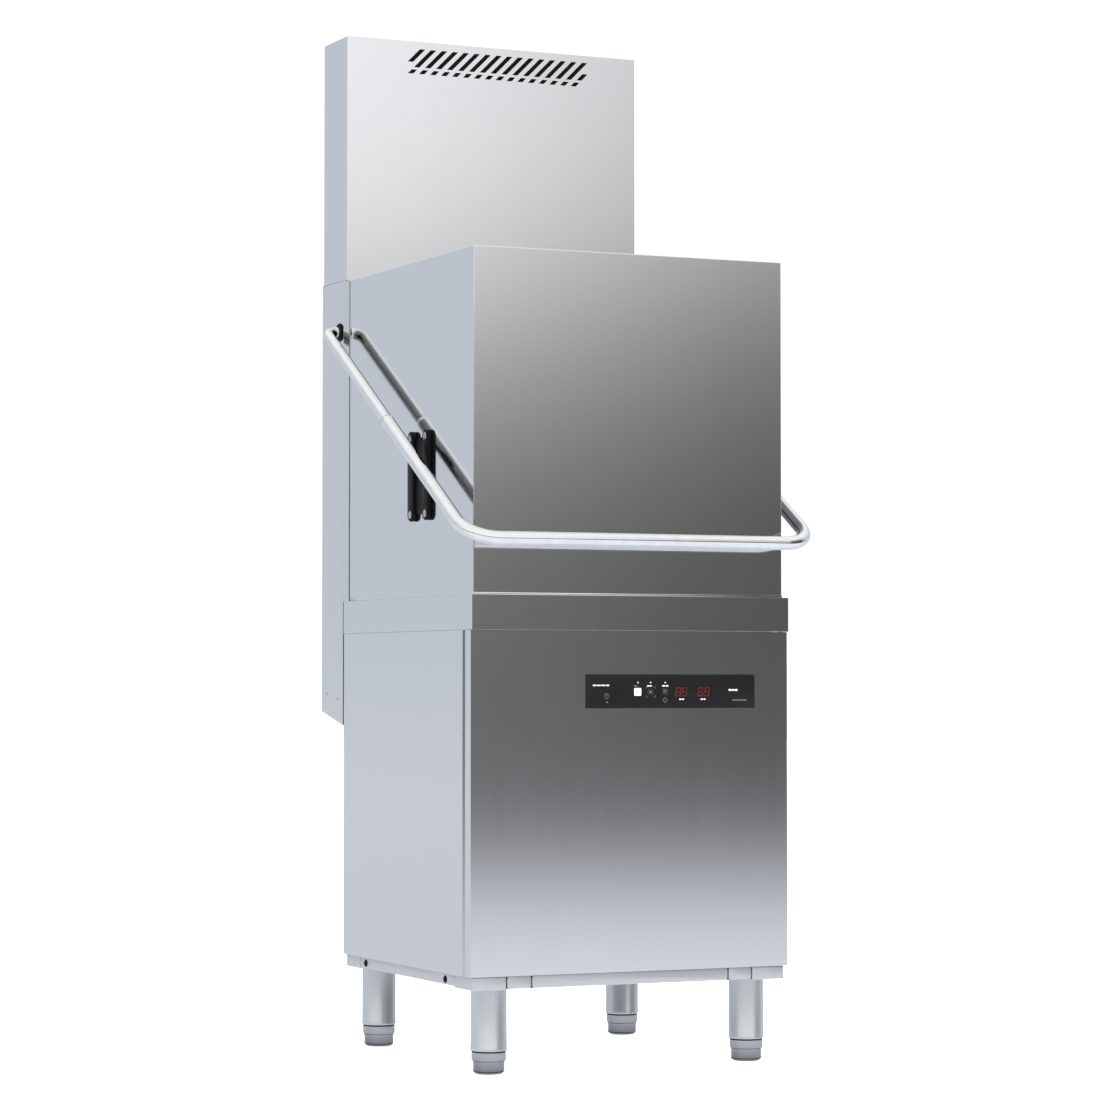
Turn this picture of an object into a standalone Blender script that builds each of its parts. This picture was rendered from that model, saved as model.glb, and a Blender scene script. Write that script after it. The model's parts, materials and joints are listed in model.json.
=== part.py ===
"""Hood-type commercial dishwasher with a heat-recovery condenser on its rear column.

Frame: metres, +Z up, front towards -Y, +X to the right seen from the front.
The origin is on the floor, at the centre of the whole machine's plan outline.
Depths are given as "behind the hood's front face" and turned into Y by depth().
"""
import math

import bmesh
import bpy
from mathutils import Matrix, Vector

# ---------------------------------------------------------------- driving dimensions
GAP = 0.0003                # clearance kept between touching pieces
SHEET = 0.002               # sheet steel thickness

HOOD_WIDTH = 0.620
HOOD_DEPTH = 0.607
HOOD_TOP = 1.471
RIM_TOP = 0.850             # working height, the height of the adjoining tables
RIM_HEIGHT = 0.062
RIM_FRONT = -0.011          # rim stands 11 mm in front of the hood
BODY_WIDTH = 0.635
BODY_FRONT = -0.005
BODY_BACK = 0.609
CABINET_BOTTOM = 0.174
COLUMN_FRONT = 0.612
COLUMN_BACK = 0.7243
COLUMN_LOW_FRONT = 0.612
COLUMN_LOW_BACK = 0.638
CONDENSER_WIDTH = 0.621
CONDENSER_BACK = 0.737
CONDENSER_TOP = 1.949

PIVOT_BACK = 0.632          # handle pivot, behind the hood's front face
PIVOT_Z = 1.372
BAR_BACK = -0.058           # front grip bar, in front of the hood
BAR_Z = 0.948
ARM_X = 0.346               # plane of each handle arm
BAR_RADIUS = 0.0125
ARM_RADIUS = 0.011
JOINT_BACK = 0.310          # where the thin arms plug into the grip bar's tube
CORNER_RADIUS = 0.060

LEG_X = 0.259
LEG_FRONT = 0.048
LEG_REAR = 0.568
LEG_RADIUS = 0.0325
LEG_LOW = 0.041
LEG_TOP = 0.152
FRAME_TOP = CABINET_BOTTOM - GAP

TANK_HALF = 0.2645
TANK_FRONT = 0.0355
TANK_REAR = 0.5745
TANK_LOW = 0.520
WASH_CENTRE = 0.300         # axis of the wash arms, behind the hood's front face
ARM_REACH = 0.228

PANEL_LEFT = -0.0934        # control panel, seen from the front
PANEL_RIGHT = 0.2498
PANEL_LOW = 0.648
PANEL_TOP = 0.709

# The machine is centred in Y between the grip bar's front and the condenser's back.
HOOD_FRONT_Y = -(CONDENSER_BACK + BAR_BACK - BAR_RADIUS) / 2

SIDES = (("left", -1), ("right", 1))


def depth(behind):
    """Y of a point that lies this far behind the hood's front face."""
    return HOOD_FRONT_Y + behind


# ---------------------------------------------------------------- scene and materials
for old in list(bpy.data.objects):
    bpy.data.objects.remove(old, do_unlink=True)

parts = bpy.data.collections.new("hood_dishwasher")
cutters = bpy.data.collections.new("cutters")
bpy.context.scene.collection.children.link(parts)
bpy.context.scene.collection.children.link(cutters)


def material(name, colour, roughness, metallic):
    made = bpy.data.materials.new(name)
    made.use_nodes = True
    shader = made.node_tree.nodes["Principled BSDF"]
    shader.inputs["Base Color"].default_value = (*colour, 1)
    shader.inputs["Roughness"].default_value = roughness
    shader.inputs["Metallic"].default_value = metallic
    return made


STEEL = material("brushed_steel", (0.62, 0.64, 0.66), 0.32, 1.0)
INNER_STEEL = material("inner_steel", (0.55, 0.57, 0.59), 0.40, 1.0)
CHROME = material("polished_tube", (0.85, 0.86, 0.88), 0.08, 1.0)
BLACK = material("black_plastic", (0.015, 0.015, 0.016), 0.45, 0.0)
PANEL_BLACK = material("panel_black", (0.02, 0.02, 0.02), 0.18, 0.0)
WHITE_KEY = material("white_key", (0.85, 0.85, 0.85), 0.35, 0.0)
GREY_KEY = material("grey_key", (0.16, 0.16, 0.16), 0.40, 0.0)
DISPLAY = material("display_window", (0.10, 0.01, 0.01), 0.12, 0.0)
CAST = material("cast_grey", (0.30, 0.31, 0.33), 0.50, 0.6)
COPPER = material("coil_fins", (0.70, 0.68, 0.64), 0.40, 1.0)
SPRING_STEEL = material("spring_steel", (0.35, 0.36, 0.38), 0.35, 1.0)


# ---------------------------------------------------------------- modelling helpers
def place(name, mesh, mat, home=None):
    """Put a mesh in the collection as a named part (or as a cutter)."""
    piece = bpy.data.objects.new(name, mesh)
    (home or parts).objects.link(piece)
    if mat:
        mesh.materials.append(mat)
    if home is cutters:
        piece.hide_render = True
        piece.display_type = "WIRE"
    return piece


def box(name, low, high, mat, home=None, bevel=0.0):
    """A block between two corners."""
    mesh = bpy.data.meshes.new(name)
    work = bmesh.new()
    bmesh.ops.create_cube(work, size=1.0)
    size = [h - l for l, h in zip(low, high)]
    middle = [(h + l) / 2 for l, h in zip(low, high)]
    bmesh.ops.scale(work, vec=size, verts=work.verts)
    work.to_mesh(mesh)
    work.free()
    piece = place(name, mesh, mat, home)
    piece.location = middle
    if bevel:
        rounding = piece.modifiers.new("rounding", "BEVEL")
        rounding.width = bevel
        rounding.segments = 1
    return piece


def rod(name, start, end, radius, mat, home=None, sides=20):
    """A round bar between two points."""
    start, end = Vector(start), Vector(end)
    mesh = bpy.data.meshes.new(name)
    work = bmesh.new()
    bmesh.ops.create_cone(work, cap_ends=True, segments=sides, radius1=radius,
                          radius2=radius, depth=(end - start).length)
    work.to_mesh(mesh)
    work.free()
    mesh.shade_smooth()
    mesh.set_sharp_from_angle(angle=math.radians(40))
    piece = place(name, mesh, mat, home)
    piece.location = (start + end) / 2
    piece.rotation_mode = "QUATERNION"
    piece.rotation_quaternion = Vector((0, 0, 1)).rotation_difference(end - start)
    return piece


def turned(name, profile, centre, axis, mat, sides=20, home=None):
    """A body of revolution; the profile is (radius, height), top to bottom."""
    mesh = bpy.data.meshes.new(name)
    points = [(radius, 0, height) for radius, height in profile]
    mesh.from_pydata(points, [(i, i + 1) for i in range(len(points) - 1)], [])
    piece = place(name, mesh, mat, home)
    piece.location = centre
    piece.rotation_mode = "QUATERNION"
    piece.rotation_quaternion = Vector((0, 0, 1)).rotation_difference(Vector(axis))
    screw = piece.modifiers.new("turn", "SCREW")
    screw.axis = "Z"
    screw.steps = sides
    screw.render_steps = sides
    screw.use_merge_vertices = True
    screw.merge_threshold = 0.0001
    return piece


AXIS_FRAMES = {
    "X": Matrix(((0, 0, 1), (1, 0, 0), (0, 1, 0))),
    "Y": Matrix(((1, 0, 0), (0, 0, -1), (0, 1, 0))),
    "Z": Matrix.Identity(3),
}


def plate(name, outline, start, thickness, along, mat, home=None):
    """A flat outline given thickness along one axis, from start upwards.

    The outline is (y, z) for X, (x, z) for Y and (x, y) for Z.
    """
    curve = bpy.data.curves.new(name, "CURVE")
    curve.dimensions = "2D"
    curve.fill_mode = "BOTH"
    curve.extrude = thickness / 2
    line = curve.splines.new("POLY")
    line.points.add(len(outline) - 1)
    for point, (u, v) in zip(line.points, outline):
        point.co = (u, v, 0, 1)
    line.use_cyclic_u = True
    guide = bpy.data.objects.new(name + "_outline", curve)
    parts.objects.link(guide)
    bpy.context.view_layer.update()
    graph = bpy.context.evaluated_depsgraph_get()
    mesh = bpy.data.meshes.new_from_object(guide.evaluated_get(graph))
    bpy.data.objects.remove(guide, do_unlink=True)
    mesh.name = name
    mesh.materials.clear()
    work = bmesh.new()
    work.from_mesh(mesh)
    bmesh.ops.remove_doubles(work, verts=work.verts, dist=0.00001)
    bmesh.ops.transform(work, matrix=AXIS_FRAMES[along].to_4x4(), verts=work.verts)
    bmesh.ops.recalc_face_normals(work, faces=work.faces)
    work.to_mesh(mesh)
    work.free()
    piece = place(name, mesh, mat, home)
    middle = start + thickness / 2
    piece.location = [middle if letter == along else 0 for letter in "XYZ"]
    return piece


def pipe(name, points, radius, mat, resolution=2, home=None):
    """A bent round tube through the given points, made into a welded mesh."""
    curve = bpy.data.curves.new(name, "CURVE")
    curve.dimensions = "3D"
    curve.bevel_depth = radius
    curve.bevel_resolution = resolution
    curve.use_fill_caps = True
    line = curve.splines.new("POLY")
    line.points.add(len(points) - 1)
    for point, spot in zip(line.points, points):
        point.co = (*spot, 1)
    guide = bpy.data.objects.new(name + "_line", curve)
    parts.objects.link(guide)
    bpy.context.view_layer.update()
    graph = bpy.context.evaluated_depsgraph_get()
    mesh = bpy.data.meshes.new_from_object(guide.evaluated_get(graph))
    bpy.data.objects.remove(guide, do_unlink=True)
    mesh.name = name
    mesh.materials.clear()
    work = bmesh.new()
    work.from_mesh(mesh)
    bmesh.ops.remove_doubles(work, verts=work.verts, dist=0.00005)
    bmesh.ops.recalc_face_normals(work, faces=work.faces)
    work.to_mesh(mesh)
    work.free()
    mesh.shade_smooth()
    mesh.set_sharp_from_angle(angle=math.radians(40))
    return place(name, mesh, mat, home)


def rounded(before, corner, after, radius, steps=6):
    """Points of the arc that rounds a right-angled corner between two runs."""
    corner = Vector(corner)
    back = (Vector(before) - corner).normalized()
    onward = (Vector(after) - corner).normalized()
    centre = corner + radius * (back + onward)
    spots = []
    for step in range(steps + 1):
        angle = math.pi / 2 * step / steps
        spots.append(centre - radius * (math.cos(angle) * onward + math.sin(angle) * back))
    return spots


def bend(route, radius, steps=6):
    """A route whose inner right-angled corners are rounded."""
    route = [Vector(spot) for spot in route]
    spots = [route[0]]
    for before, corner, after in zip(route, route[1:], route[2:]):
        spots += rounded(before, corner, after, radius, steps)
    return spots + [route[-1]]


def combine(piece, tool, operation):
    """Cut a tool out of a piece, or weld it on."""
    change = piece.modifiers.new(operation.lower(), "BOOLEAN")
    change.operation = operation
    change.solver = "EXACT"
    change.object = tool


def cut(piece, *tools):
    for tool in tools:
        combine(piece, tool, "DIFFERENCE")


def weld(piece, *tools):
    for tool in tools:
        combine(piece, tool, "UNION")


def cut_box(piece, low, high):
    cut(piece, box(piece.name + "_cutter", low, high, None, home=cutters))


def cut_hole(piece, start, end, radius, sides=24):
    cut(piece, rod(piece.name + "_drill", start, end, radius, None, cutters, sides))


def hollow_out(ring, low, high, bar, wall, z_low, z_high):
    """Turn a solid square ring into a channel: one pocket along each of its four bars."""
    (x0, y0), (x1, y1) = low, high
    inner = bar - wall
    cut_box(ring, (x0 + wall, y0 + wall, z_low), (x1 - wall, y0 + inner, z_high))
    cut_box(ring, (x0 + wall, y1 - inner, z_low), (x1 - wall, y1 - wall, z_high))
    cut_box(ring, (x0 + wall, y0 + wall, z_low), (x0 + inner, y1 - wall, z_high))
    cut_box(ring, (x1 - inner, y0 + wall, z_low), (x1 - wall, y1 - wall, z_high))


# ---------------------------------------------------------------- base frame, legs, feet
def base_frame():
    """Welded ring under the cabinet that the legs are screwed into."""
    inset, bar = 0.020, 0.046
    half = BODY_WIDTH / 2 - inset
    front, back = depth(0.003), depth(0.600)
    ring = box("base_frame", (-half, front, LEG_TOP), (half, back, FRAME_TOP), STEEL)
    cut_box(ring, (-half + bar, front + bar, LEG_TOP - 0.01), (half - bar, back - bar, FRAME_TOP + 0.01))
    wall = 0.003
    hollow_out(ring, (-half, front), (half, back), bar, wall, LEG_TOP + wall, FRAME_TOP + 0.01)


def leg_and_foot(corner, x, behind):
    """A tube leg with a screw-out foot in its lower end."""
    y = depth(behind)
    inner = LEG_RADIUS - SHEET
    tube = [(inner, LEG_TOP - GAP), (LEG_RADIUS, LEG_TOP - GAP), (LEG_RADIUS, LEG_LOW),
            (inner, LEG_LOW), (inner, LEG_TOP - GAP)]
    turned("leg_" + corner, tube, (x, y, 0), (0, 0, 1), STEEL)
    plug, collar, shoe = inner - 0.0012, 0.0305, 0.0278
    foot = [(0, 0.078), (plug, 0.078), (plug, LEG_LOW - GAP), (collar, LEG_LOW - GAP),
            (collar, 0.025), (shoe, 0.018), (shoe, 0.004), (shoe - 0.004, 0), (0, 0)]
    turned("foot_" + corner, foot, (x, y, 0), (0, 0, 1), INNER_STEEL)


# ---------------------------------------------------------------- lower cabinet
def side_panel(side, sign):
    """Folded side sheet; its front edge is joggled in behind the front panel."""
    half, joggle = BODY_WIDTH / 2, SHEET + 2 * GAP
    outer = [(half, BODY_BACK - 0.0025), (half, 0.0315), (half - joggle, 0.0315), (half - joggle, 0.004)]
    inner = [(half - joggle - SHEET, 0.004), (half - joggle - SHEET, 0.0335), (half - SHEET, 0.0335),
             (half - SHEET, BODY_BACK - 0.0025)]
    outline = [(sign * x, depth(behind)) for x, behind in outer + inner]
    height = RIM_TOP - RIM_HEIGHT - GAP - CABINET_BOTTOM
    plate("side_panel_" + side, outline, CABINET_BOTTOM, height, "Z", STEEL)


def front_panel():
    """Front sheet with folded side returns and the window of the control panel."""
    half, returned = BODY_WIDTH / 2, 0.0106
    outer = [(-half, returned), (-half, BODY_FRONT), (half, BODY_FRONT), (half, returned)]
    inner = [(half - SHEET, returned), (half - SHEET, BODY_FRONT + SHEET),
             (-half + SHEET, BODY_FRONT + SHEET), (-half + SHEET, returned)]
    outline = [(x, depth(behind)) for x, behind in outer + inner]
    low = CABINET_BOTTOM + 0.001
    panel = plate("front_panel", outline, low, RIM_TOP - RIM_HEIGHT - 0.001 - low, "Z", STEEL)
    cut_box(panel, (PANEL_LEFT, depth(-0.02), PANEL_LOW), (PANEL_RIGHT, depth(0.0), PANEL_TOP))


def rear_panel():
    half = BODY_WIDTH / 2 - SHEET - GAP
    top = RIM_TOP - RIM_HEIGHT - GAP
    panel = box("rear_panel", (-half, depth(BODY_BACK - SHEET), CABINET_BOTTOM),
                (half, depth(BODY_BACK), top), STEEL)
    for name, x, z, radius in REAR_FITTINGS:
        cut_hole(panel, (x, depth(0.59), z), (x, depth(0.63), z), radius + GAP)


REAR_FITTINGS = (
    ("water_inlet_valve", 0.150, 0.300, 0.012),
    ("drain_outlet", -0.120, 0.235, 0.018),
    ("cable_gland", -0.230, 0.340, 0.010),
)


def rear_fitting(name, x, z, radius):
    """A threaded spigot through the rear panel with a collar outside it."""
    collar, inside, outside = radius * 1.55, 0.020, 0.040
    bore = radius * 0.6
    face = -GAP - SHEET
    profile = [(bore, inside), (radius, inside), (radius, face), (collar, face), (collar, face - 0.008),
               (radius, face - 0.008), (radius, -outside), (bore, -outside), (bore, inside)]
    mat = BLACK if name == "cable_gland" else CAST
    turned(name, profile, (x, depth(BODY_BACK - SHEET), z), (0, -1, 0), mat, 20)


def tank_rim():
    """Deep ledge that the hood closes on; adjoining tables hook over its sides."""
    half = BODY_WIDTH / 2
    low = RIM_TOP - RIM_HEIGHT
    rim = box("tank_rim", (-half, depth(RIM_FRONT), low), (half, depth(BODY_BACK), RIM_TOP), STEEL)
    margin = 0.0005
    cut_box(rim, (-TANK_HALF - margin, depth(TANK_FRONT - margin), low - 0.01),
            (TANK_HALF + margin, depth(TANK_REAR + margin), RIM_TOP + 0.01))
    bar = TANK_FRONT - RIM_FRONT - margin
    wall = 0.003
    side_wall = half - TANK_HALF - margin
    back_wall = BODY_BACK - TANK_REAR - margin
    top = RIM_TOP - wall
    front, back = depth(RIM_FRONT), depth(BODY_BACK)
    cut_box(rim, (-half + wall, front + wall, low - 0.01), (half - wall, front + bar - wall, top))
    cut_box(rim, (-half + wall, back - back_wall + wall, low - 0.01), (half - wall, back - wall, top))
    for sign in (-1, 1):
        ends = sorted((sign * (half - wall), sign * (half - side_wall + wall)))
        cut_box(rim, (ends[0], front + wall, low - 0.01), (ends[1], back - wall, top))


# ---------------------------------------------------------------- tank and wash system
def wash_tank():
    """Open basin with a heater, pump intake and overflow in its floor."""
    tank = box("wash_tank", (-TANK_HALF, depth(TANK_FRONT), TANK_LOW),
               (TANK_HALF, depth(TANK_REAR), RIM_TOP - 0.001), INNER_STEEL)
    cut_box(tank, (-TANK_HALF + SHEET, depth(TANK_FRONT) + SHEET, TANK_LOW + SHEET),
            (TANK_HALF - SHEET, depth(TANK_REAR) - SHEET, RIM_TOP + 0.01))


def tank_strainer():
    """Perforated tray across the tank, with holes for the pipes that stand in it."""
    z, inset = 0.745, SHEET + 0.002
    tray = box("tank_strainer", (-TANK_HALF + inset, depth(TANK_FRONT) + inset, z),
               (TANK_HALF - inset, depth(TANK_REAR) - inset, z + SHEET), INNER_STEEL)
    for x, behind, radius in ((0, WASH_CENTRE, 0.018), (0, RISER_BACK, 0.017), (*PIPE_SPOT, 0.024)):
        cut_hole(tray, (x, depth(behind), z - 0.01), (x, depth(behind), z + 0.02), radius, 20)
    slots, pitch, width, length = 10, 0.022, 0.004, 0.14
    for row in (0.115, 0.435):
        for index in range(slots):
            x = (index - (slots - 1) / 2) * pitch
            middle = depth(row)
            cut_box(tray, (x - width / 2, middle - length / 2, z - 0.01),
                    (x + width / 2, middle + length / 2, z + 0.02))


PIPE_SPOT = (0.225, 0.515)
RISER_BACK = 0.552
SPINDLE_RADIUS = 0.013
HUB_BORE = 0.0142


def overflow_pipe():
    """Standpipe pulled up by its ring grip to empty the tank."""
    y = depth(PIPE_SPOT[1])
    low = TANK_LOW + SHEET + GAP
    radius, bore = 0.019, 0.016
    profile = [(bore, 0.800), (radius, 0.800), (radius, low + 0.012), (0.022, low + 0.008),
               (0.022, low), (bore, low), (bore, 0.800)]
    turned("overflow_pipe", profile, (PIPE_SPOT[0], y, 0), (0, 0, 1), BLACK, 20)


def tank_heater():
    """Immersion heater: a hairpin lying just above the tank floor."""
    z = TANK_LOW + 0.045
    front, back = depth(0.10), depth(0.42)
    route = [(-0.16, back, z), (-0.16, front, z), (0.10, front, z), (0.10, back, z)]
    pipe("tank_heater", bend(route, 0.03, 4), 0.006, SPRING_STEEL, 1)


def spray_arm(name, z, width, height, reach, mat):
    """Flat hollow-looking spray arm with a centre hub and a row of nozzle slots."""
    y = depth(WASH_CENTRE)
    arm = box(name, (-reach, y - width / 2, z), (reach, y + width / 2, z + height), mat, bevel=0.003)
    weld(arm, rod(name + "_hub", (0, y, z - 0.002), (0, y, z + height + 0.002), 0.026, None, cutters))
    cut_hole(arm, (0, y, z - 0.02), (0, y, z + height + 0.02), HUB_BORE, 24)
    return arm


def wash_arms():
    """Two wash arms and two rinse arms that turn on the lower and upper spindles."""
    spray_arm("lower_wash_arm", 0.780, 0.046, 0.014, ARM_REACH, INNER_STEEL)
    spray_arm("lower_rinse_arm", 0.802, 0.020, 0.010, ARM_REACH - 0.02, INNER_STEEL)
    spray_arm("upper_wash_arm", 1.352, 0.046, 0.014, ARM_REACH, INNER_STEEL)
    spray_arm("upper_rinse_arm", 1.334, 0.020, 0.010, ARM_REACH - 0.02, INNER_STEEL)


def spindles():
    """Lower spindle from the tank floor; upper one hangs from the riser pipe."""
    y = depth(WASH_CENTRE)
    low = TANK_LOW + SHEET + GAP
    base, cap = 0.030, 0.019
    profile = [(0, 0.826), (cap, 0.826), (cap, 0.818), (SPINDLE_RADIUS, 0.818),
               (SPINDLE_RADIUS, 0.775), (0.016, 0.773), (0.016, low + 0.01), (base, low + 0.006), (base, low),
               (0, low)]
    turned("lower_spindle", profile, (0, y, 0), (0, 0, 1), BLACK)
    top = 1.405
    route = [(0, depth(RISER_BACK), low), (0, depth(RISER_BACK), top), (0, y, top), (0, y, 1.328)]
    riser = pipe("riser_pipe", bend(route, 0.035, 5), SPINDLE_RADIUS, INNER_STEEL, 2)
    weld(riser, rod("upper_cap", (0, y, 1.318), (0, y, 1.3285), 0.019, None, cutters))


def rack_guides():
    """Angles on the rim that the 500 mm basket slides between."""
    for side, sign in SIDES:
        outline = [(0.268, RIM_TOP + GAP), (0.300, RIM_TOP + GAP), (0.300, 0.853),
                   (0.271, 0.853), (0.271, 0.868), (0.268, 0.868)]
        placed = [(sign * x, z) for x, z in outline]
        plate("rack_guide_" + side, placed, depth(0.045), 0.51, "Y", INNER_STEEL)


def wash_pump():
    """Motor and pump volute in one line under the tank."""
    y, z = depth(0.20), 0.30
    pump = rod("wash_pump", (-0.19, y, z), (0.02, y, z), 0.062, CAST, sides=24)
    weld(pump, rod("volute", (0.00, y, z), (0.055, y, z), 0.085, None, cutters, 24),
         rod("intake", (0.028, y, z + 0.03), (0.028, y, TANK_LOW - 0.001), 0.022, None, cutters, 16))


def rinse_boiler():
    """Upright rinse-water boiler with domed ends."""
    radius, low, high, dome, wall, neck = 0.095, 0.195, 0.480, 0.025, 0.003, 0.010

    def half_outline(inset):
        reach, drop = radius - inset, dome - inset
        rise = [(reach * math.sin(a), drop * math.cos(a)) for a in (0.15, 0.5, 1.0, math.pi / 2)]
        foot = [(reach * math.sin(a), drop * math.cos(a)) for a in (math.pi / 2, 1.0, 0.5, 0)]
        return [(r, high - dome + h) for r, h in rise] + [(r, low + dome - h) for r, h in foot]

    mouth = [(neck, high + 0.012), (neck + wall, high + 0.012), (neck + wall, high - wall)]
    profile = list(reversed(half_outline(wall))) + mouth + half_outline(0)[1:]
    turned("rinse_boiler", profile, (0.175, depth(0.44), 0), (0, 0, 1), INNER_STEEL)


# ---------------------------------------------------------------- control panel
PANEL_FACE = -0.0065        # the panel stands 1.5 mm in front of the sheet
PANEL_FLOOR = 0.0005
KEYS = (
    # name, distance from the panel's left edge, distance below its top, size, kind
    ("power_key", 0.0416, 0.0390, 0.0140, "round"),
    ("start_key", 0.1038, 0.0316, 0.0155, "square"),
    ("cycle_key", 0.1295, 0.0316, 0.0125, "square"),
    ("select_key", 0.1590, 0.0305, 0.0125, "square"),
    ("drain_key", 0.1590, 0.0465, 0.0090, "diamond"),
)
DISPLAY_SPAN = (0.1770, 0.2530)     # one window for both numbers, from the panel's left edge
DISPLAY_HEIGHT = 0.0185
DISPLAY_DROP = 0.0316


def key_solid(name, x, z, size, kind, front, back, mat, home=None):
    if kind == "round":
        return rod(name, (x, back, z), (x, front, z), size / 2, mat, home, 24)
    piece = box(name, (x - size / 2, front, z - size / 2), (x + size / 2, back, z + size / 2), mat, home)
    if kind == "diamond":
        piece.rotation_euler.y = math.radians(45)
    return piece


def control_panel():
    """Black panel in the front sheet, with its keys and a display window."""
    front, back = depth(PANEL_FACE), depth(PANEL_FLOOR)
    panel = box("control_panel", (PANEL_LEFT + GAP, front, PANEL_LOW + GAP),
                (PANEL_RIGHT - GAP, back, PANEL_TOP - GAP), PANEL_BLACK)
    clearance, proud, travel_room = 0.0004, 0.0006, 0.003
    for name, along, drop, size, kind in KEYS:
        x, z = PANEL_LEFT + along, PANEL_TOP - drop
        mat = WHITE_KEY if name == "start_key" else GREY_KEY
        key_solid(name, x, z, size, kind, front - proud, back, mat)
        hole = size + 2 * clearance
        cut(panel, key_solid(name + "_hole", x, z, hole, kind, front - 0.01, back + 0.01, None, cutters))
    left, right = (PANEL_LEFT + along for along in DISPLAY_SPAN)
    middle, half, sunk = PANEL_TOP - DISPLAY_DROP, DISPLAY_HEIGHT / 2, front + 0.003
    box("display_window", (left, front + GAP, middle - half), (right, sunk, middle + half), DISPLAY)
    cut_box(panel, (left - GAP, front - 0.01, middle - half - GAP),
            (right + GAP, sunk + GAP, middle + half + GAP))
    box("control_box", (PANEL_LEFT - 0.01, back + travel_room, PANEL_LOW - 0.02),
        (PANEL_RIGHT + 0.01, depth(TANK_FRONT) - 0.001, PANEL_TOP + 0.03), BLACK)


# ---------------------------------------------------------------- hood
ARM_SLOPE = (PIVOT_Z - BAR_Z) / (PIVOT_BACK - BAR_BACK)
GUIDE_LOW = 0.990
GUIDE_HIGH = 1.156


def hood_shell():
    """Five-sided hood, open below and behind, with returned rear edges."""
    half = HOOD_WIDTH / 2
    low = RIM_TOP + GAP
    hood = box("hood_shell", (-half, depth(0), low), (half, depth(HOOD_DEPTH), HOOD_TOP), STEEL, bevel=0.0012)
    cut_box(hood, (-half + SHEET, depth(SHEET), low - 0.05),
            (half - SHEET, depth(HOOD_DEPTH) - SHEET, HOOD_TOP - SHEET))
    cut_box(hood, (-0.280, depth(HOOD_DEPTH - 0.02), low - 0.05), (0.280, depth(HOOD_DEPTH + 0.02), 1.450))


def arm_guide(side, sign):
    """A pair of upright black bars, on one base, that the handle arm runs across."""
    base = HOOD_WIDTH / 2 + GAP
    width, pitch, middle = 0.027, 0.070, 0.2385
    base_thick, bar_thick = 0.003, 0.0085
    left, right = sorted((sign * base, sign * (base + base_thick)))
    lowest, highest = GUIDE_LOW + 0.012, GUIDE_HIGH - 0.012
    guide = box("arm_guide_" + side, (left, depth(middle - pitch / 2), lowest),
                (right, depth(middle + pitch / 2), highest), BLACK)
    for index in (-1, 1):
        centre = depth(middle + index * pitch / 2)
        outline = []
        for end, z in ((1, GUIDE_HIGH - width / 2), (-1, GUIDE_LOW + width / 2)):
            for step in range(7):
                angle = math.pi * step / 6
                outline.append((centre + end * math.cos(angle) * width / 2,
                                z + end * math.sin(angle) * width / 2))
        start = base if sign > 0 else -base - bar_thick
        weld(guide, plate("guide_bar", outline, start, bar_thick, "X", None, cutters))


def hood_slider(side, sign):
    """Bracket from the hood's rear return, through the splash plate, to the guide rail."""
    x = sign * 0.295
    arm = box("hood_slider_" + side, (x - 0.006, depth(HOOD_DEPTH) + GAP, 0.866),
              (x + 0.006, depth(0.640), 0.919), INNER_STEEL)
    weld(arm, box("slider_block", (x - 0.011, depth(0.624), 0.864),
                  (x + 0.011, depth(0.6508), 0.921), None, cutters))


def guide_rail(side, sign):
    x = sign * 0.295
    box("guide_rail_" + side, (x - 0.010, depth(0.652), 0.830), (x + 0.010, depth(0.668), 1.440), CHROME)


def splash_back():
    """Fixed rear wall of the wash chamber, with slots for the hood's sliders."""
    half = 0.308
    wall = box("splash_back", (-half, depth(0.609), RIM_TOP + GAP),
               (half, depth(0.609 + SHEET), 1.462), INNER_STEEL)
    for side, sign in SIDES:
        x = sign * 0.295
        cut_box(wall, (x - 0.0085, depth(0.60), 0.862), (x + 0.0085, depth(0.62), 1.390))


# ---------------------------------------------------------------- rear column
def column_cover():
    """U-shaped cover behind the chamber, its front edges folded in and its lower end cut on a slope."""
    half, returned = BODY_WIDTH / 2, 0.009
    lip = COLUMN_FRONT + SHEET
    right = [(half, COLUMN_FRONT), (half - returned, COLUMN_FRONT), (half - returned, lip),
             (half - SHEET, lip), (half - SHEET, COLUMN_BACK - SHEET)]
    left = [(-x, behind) for x, behind in reversed(right)]
    corners = [(-half, COLUMN_BACK), (half, COLUMN_BACK)]
    outline = [(x, depth(behind)) for x, behind in right + left + corners]
    bottom = COLUMN_LOW_FRONT - 0.01
    cover = plate("column_cover", outline, bottom, HOOD_TOP - bottom, "Z", STEEL)
    reach, below = 0.01, 0.1
    slope = (COLUMN_LOW_BACK - COLUMN_LOW_FRONT) / (COLUMN_BACK - COLUMN_FRONT)
    front_z, back_z = COLUMN_LOW_FRONT - slope * reach, COLUMN_LOW_BACK + slope * reach
    wedge = [(depth(COLUMN_FRONT - reach), below), (depth(COLUMN_BACK + reach), below),
             (depth(COLUMN_BACK + reach), back_z), (depth(COLUMN_FRONT - reach), front_z)]
    cut(cover, plate("column_slope", wedge, -half - 0.01, 2 * half + 0.02, "X", None, cutters))
    for side, sign in SIDES:
        cut_hole(cover, (sign * (half - 0.02), depth(PIVOT_BACK), PIVOT_Z),
                 (sign * (half + 0.02), depth(PIVOT_BACK), PIVOT_Z), 0.0155)


def pivot_bush(side, sign):
    """Black flanged bush in the column's side for the handle's end."""
    bore, neck, flange = 0.0117, 0.0151, 0.0180
    outside = BODY_WIDTH / 2 + GAP
    profile = [(bore, 0.004), (flange - 0.002, 0.004), (flange, 0.002), (flange, 0), (neck, 0),
               (neck, -0.008), (bore, -0.008), (bore, 0.004)]
    turned("pivot_bush_" + side, profile, (sign * outside, depth(PIVOT_BACK), PIVOT_Z), (sign, 0, 0), BLACK)


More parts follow.
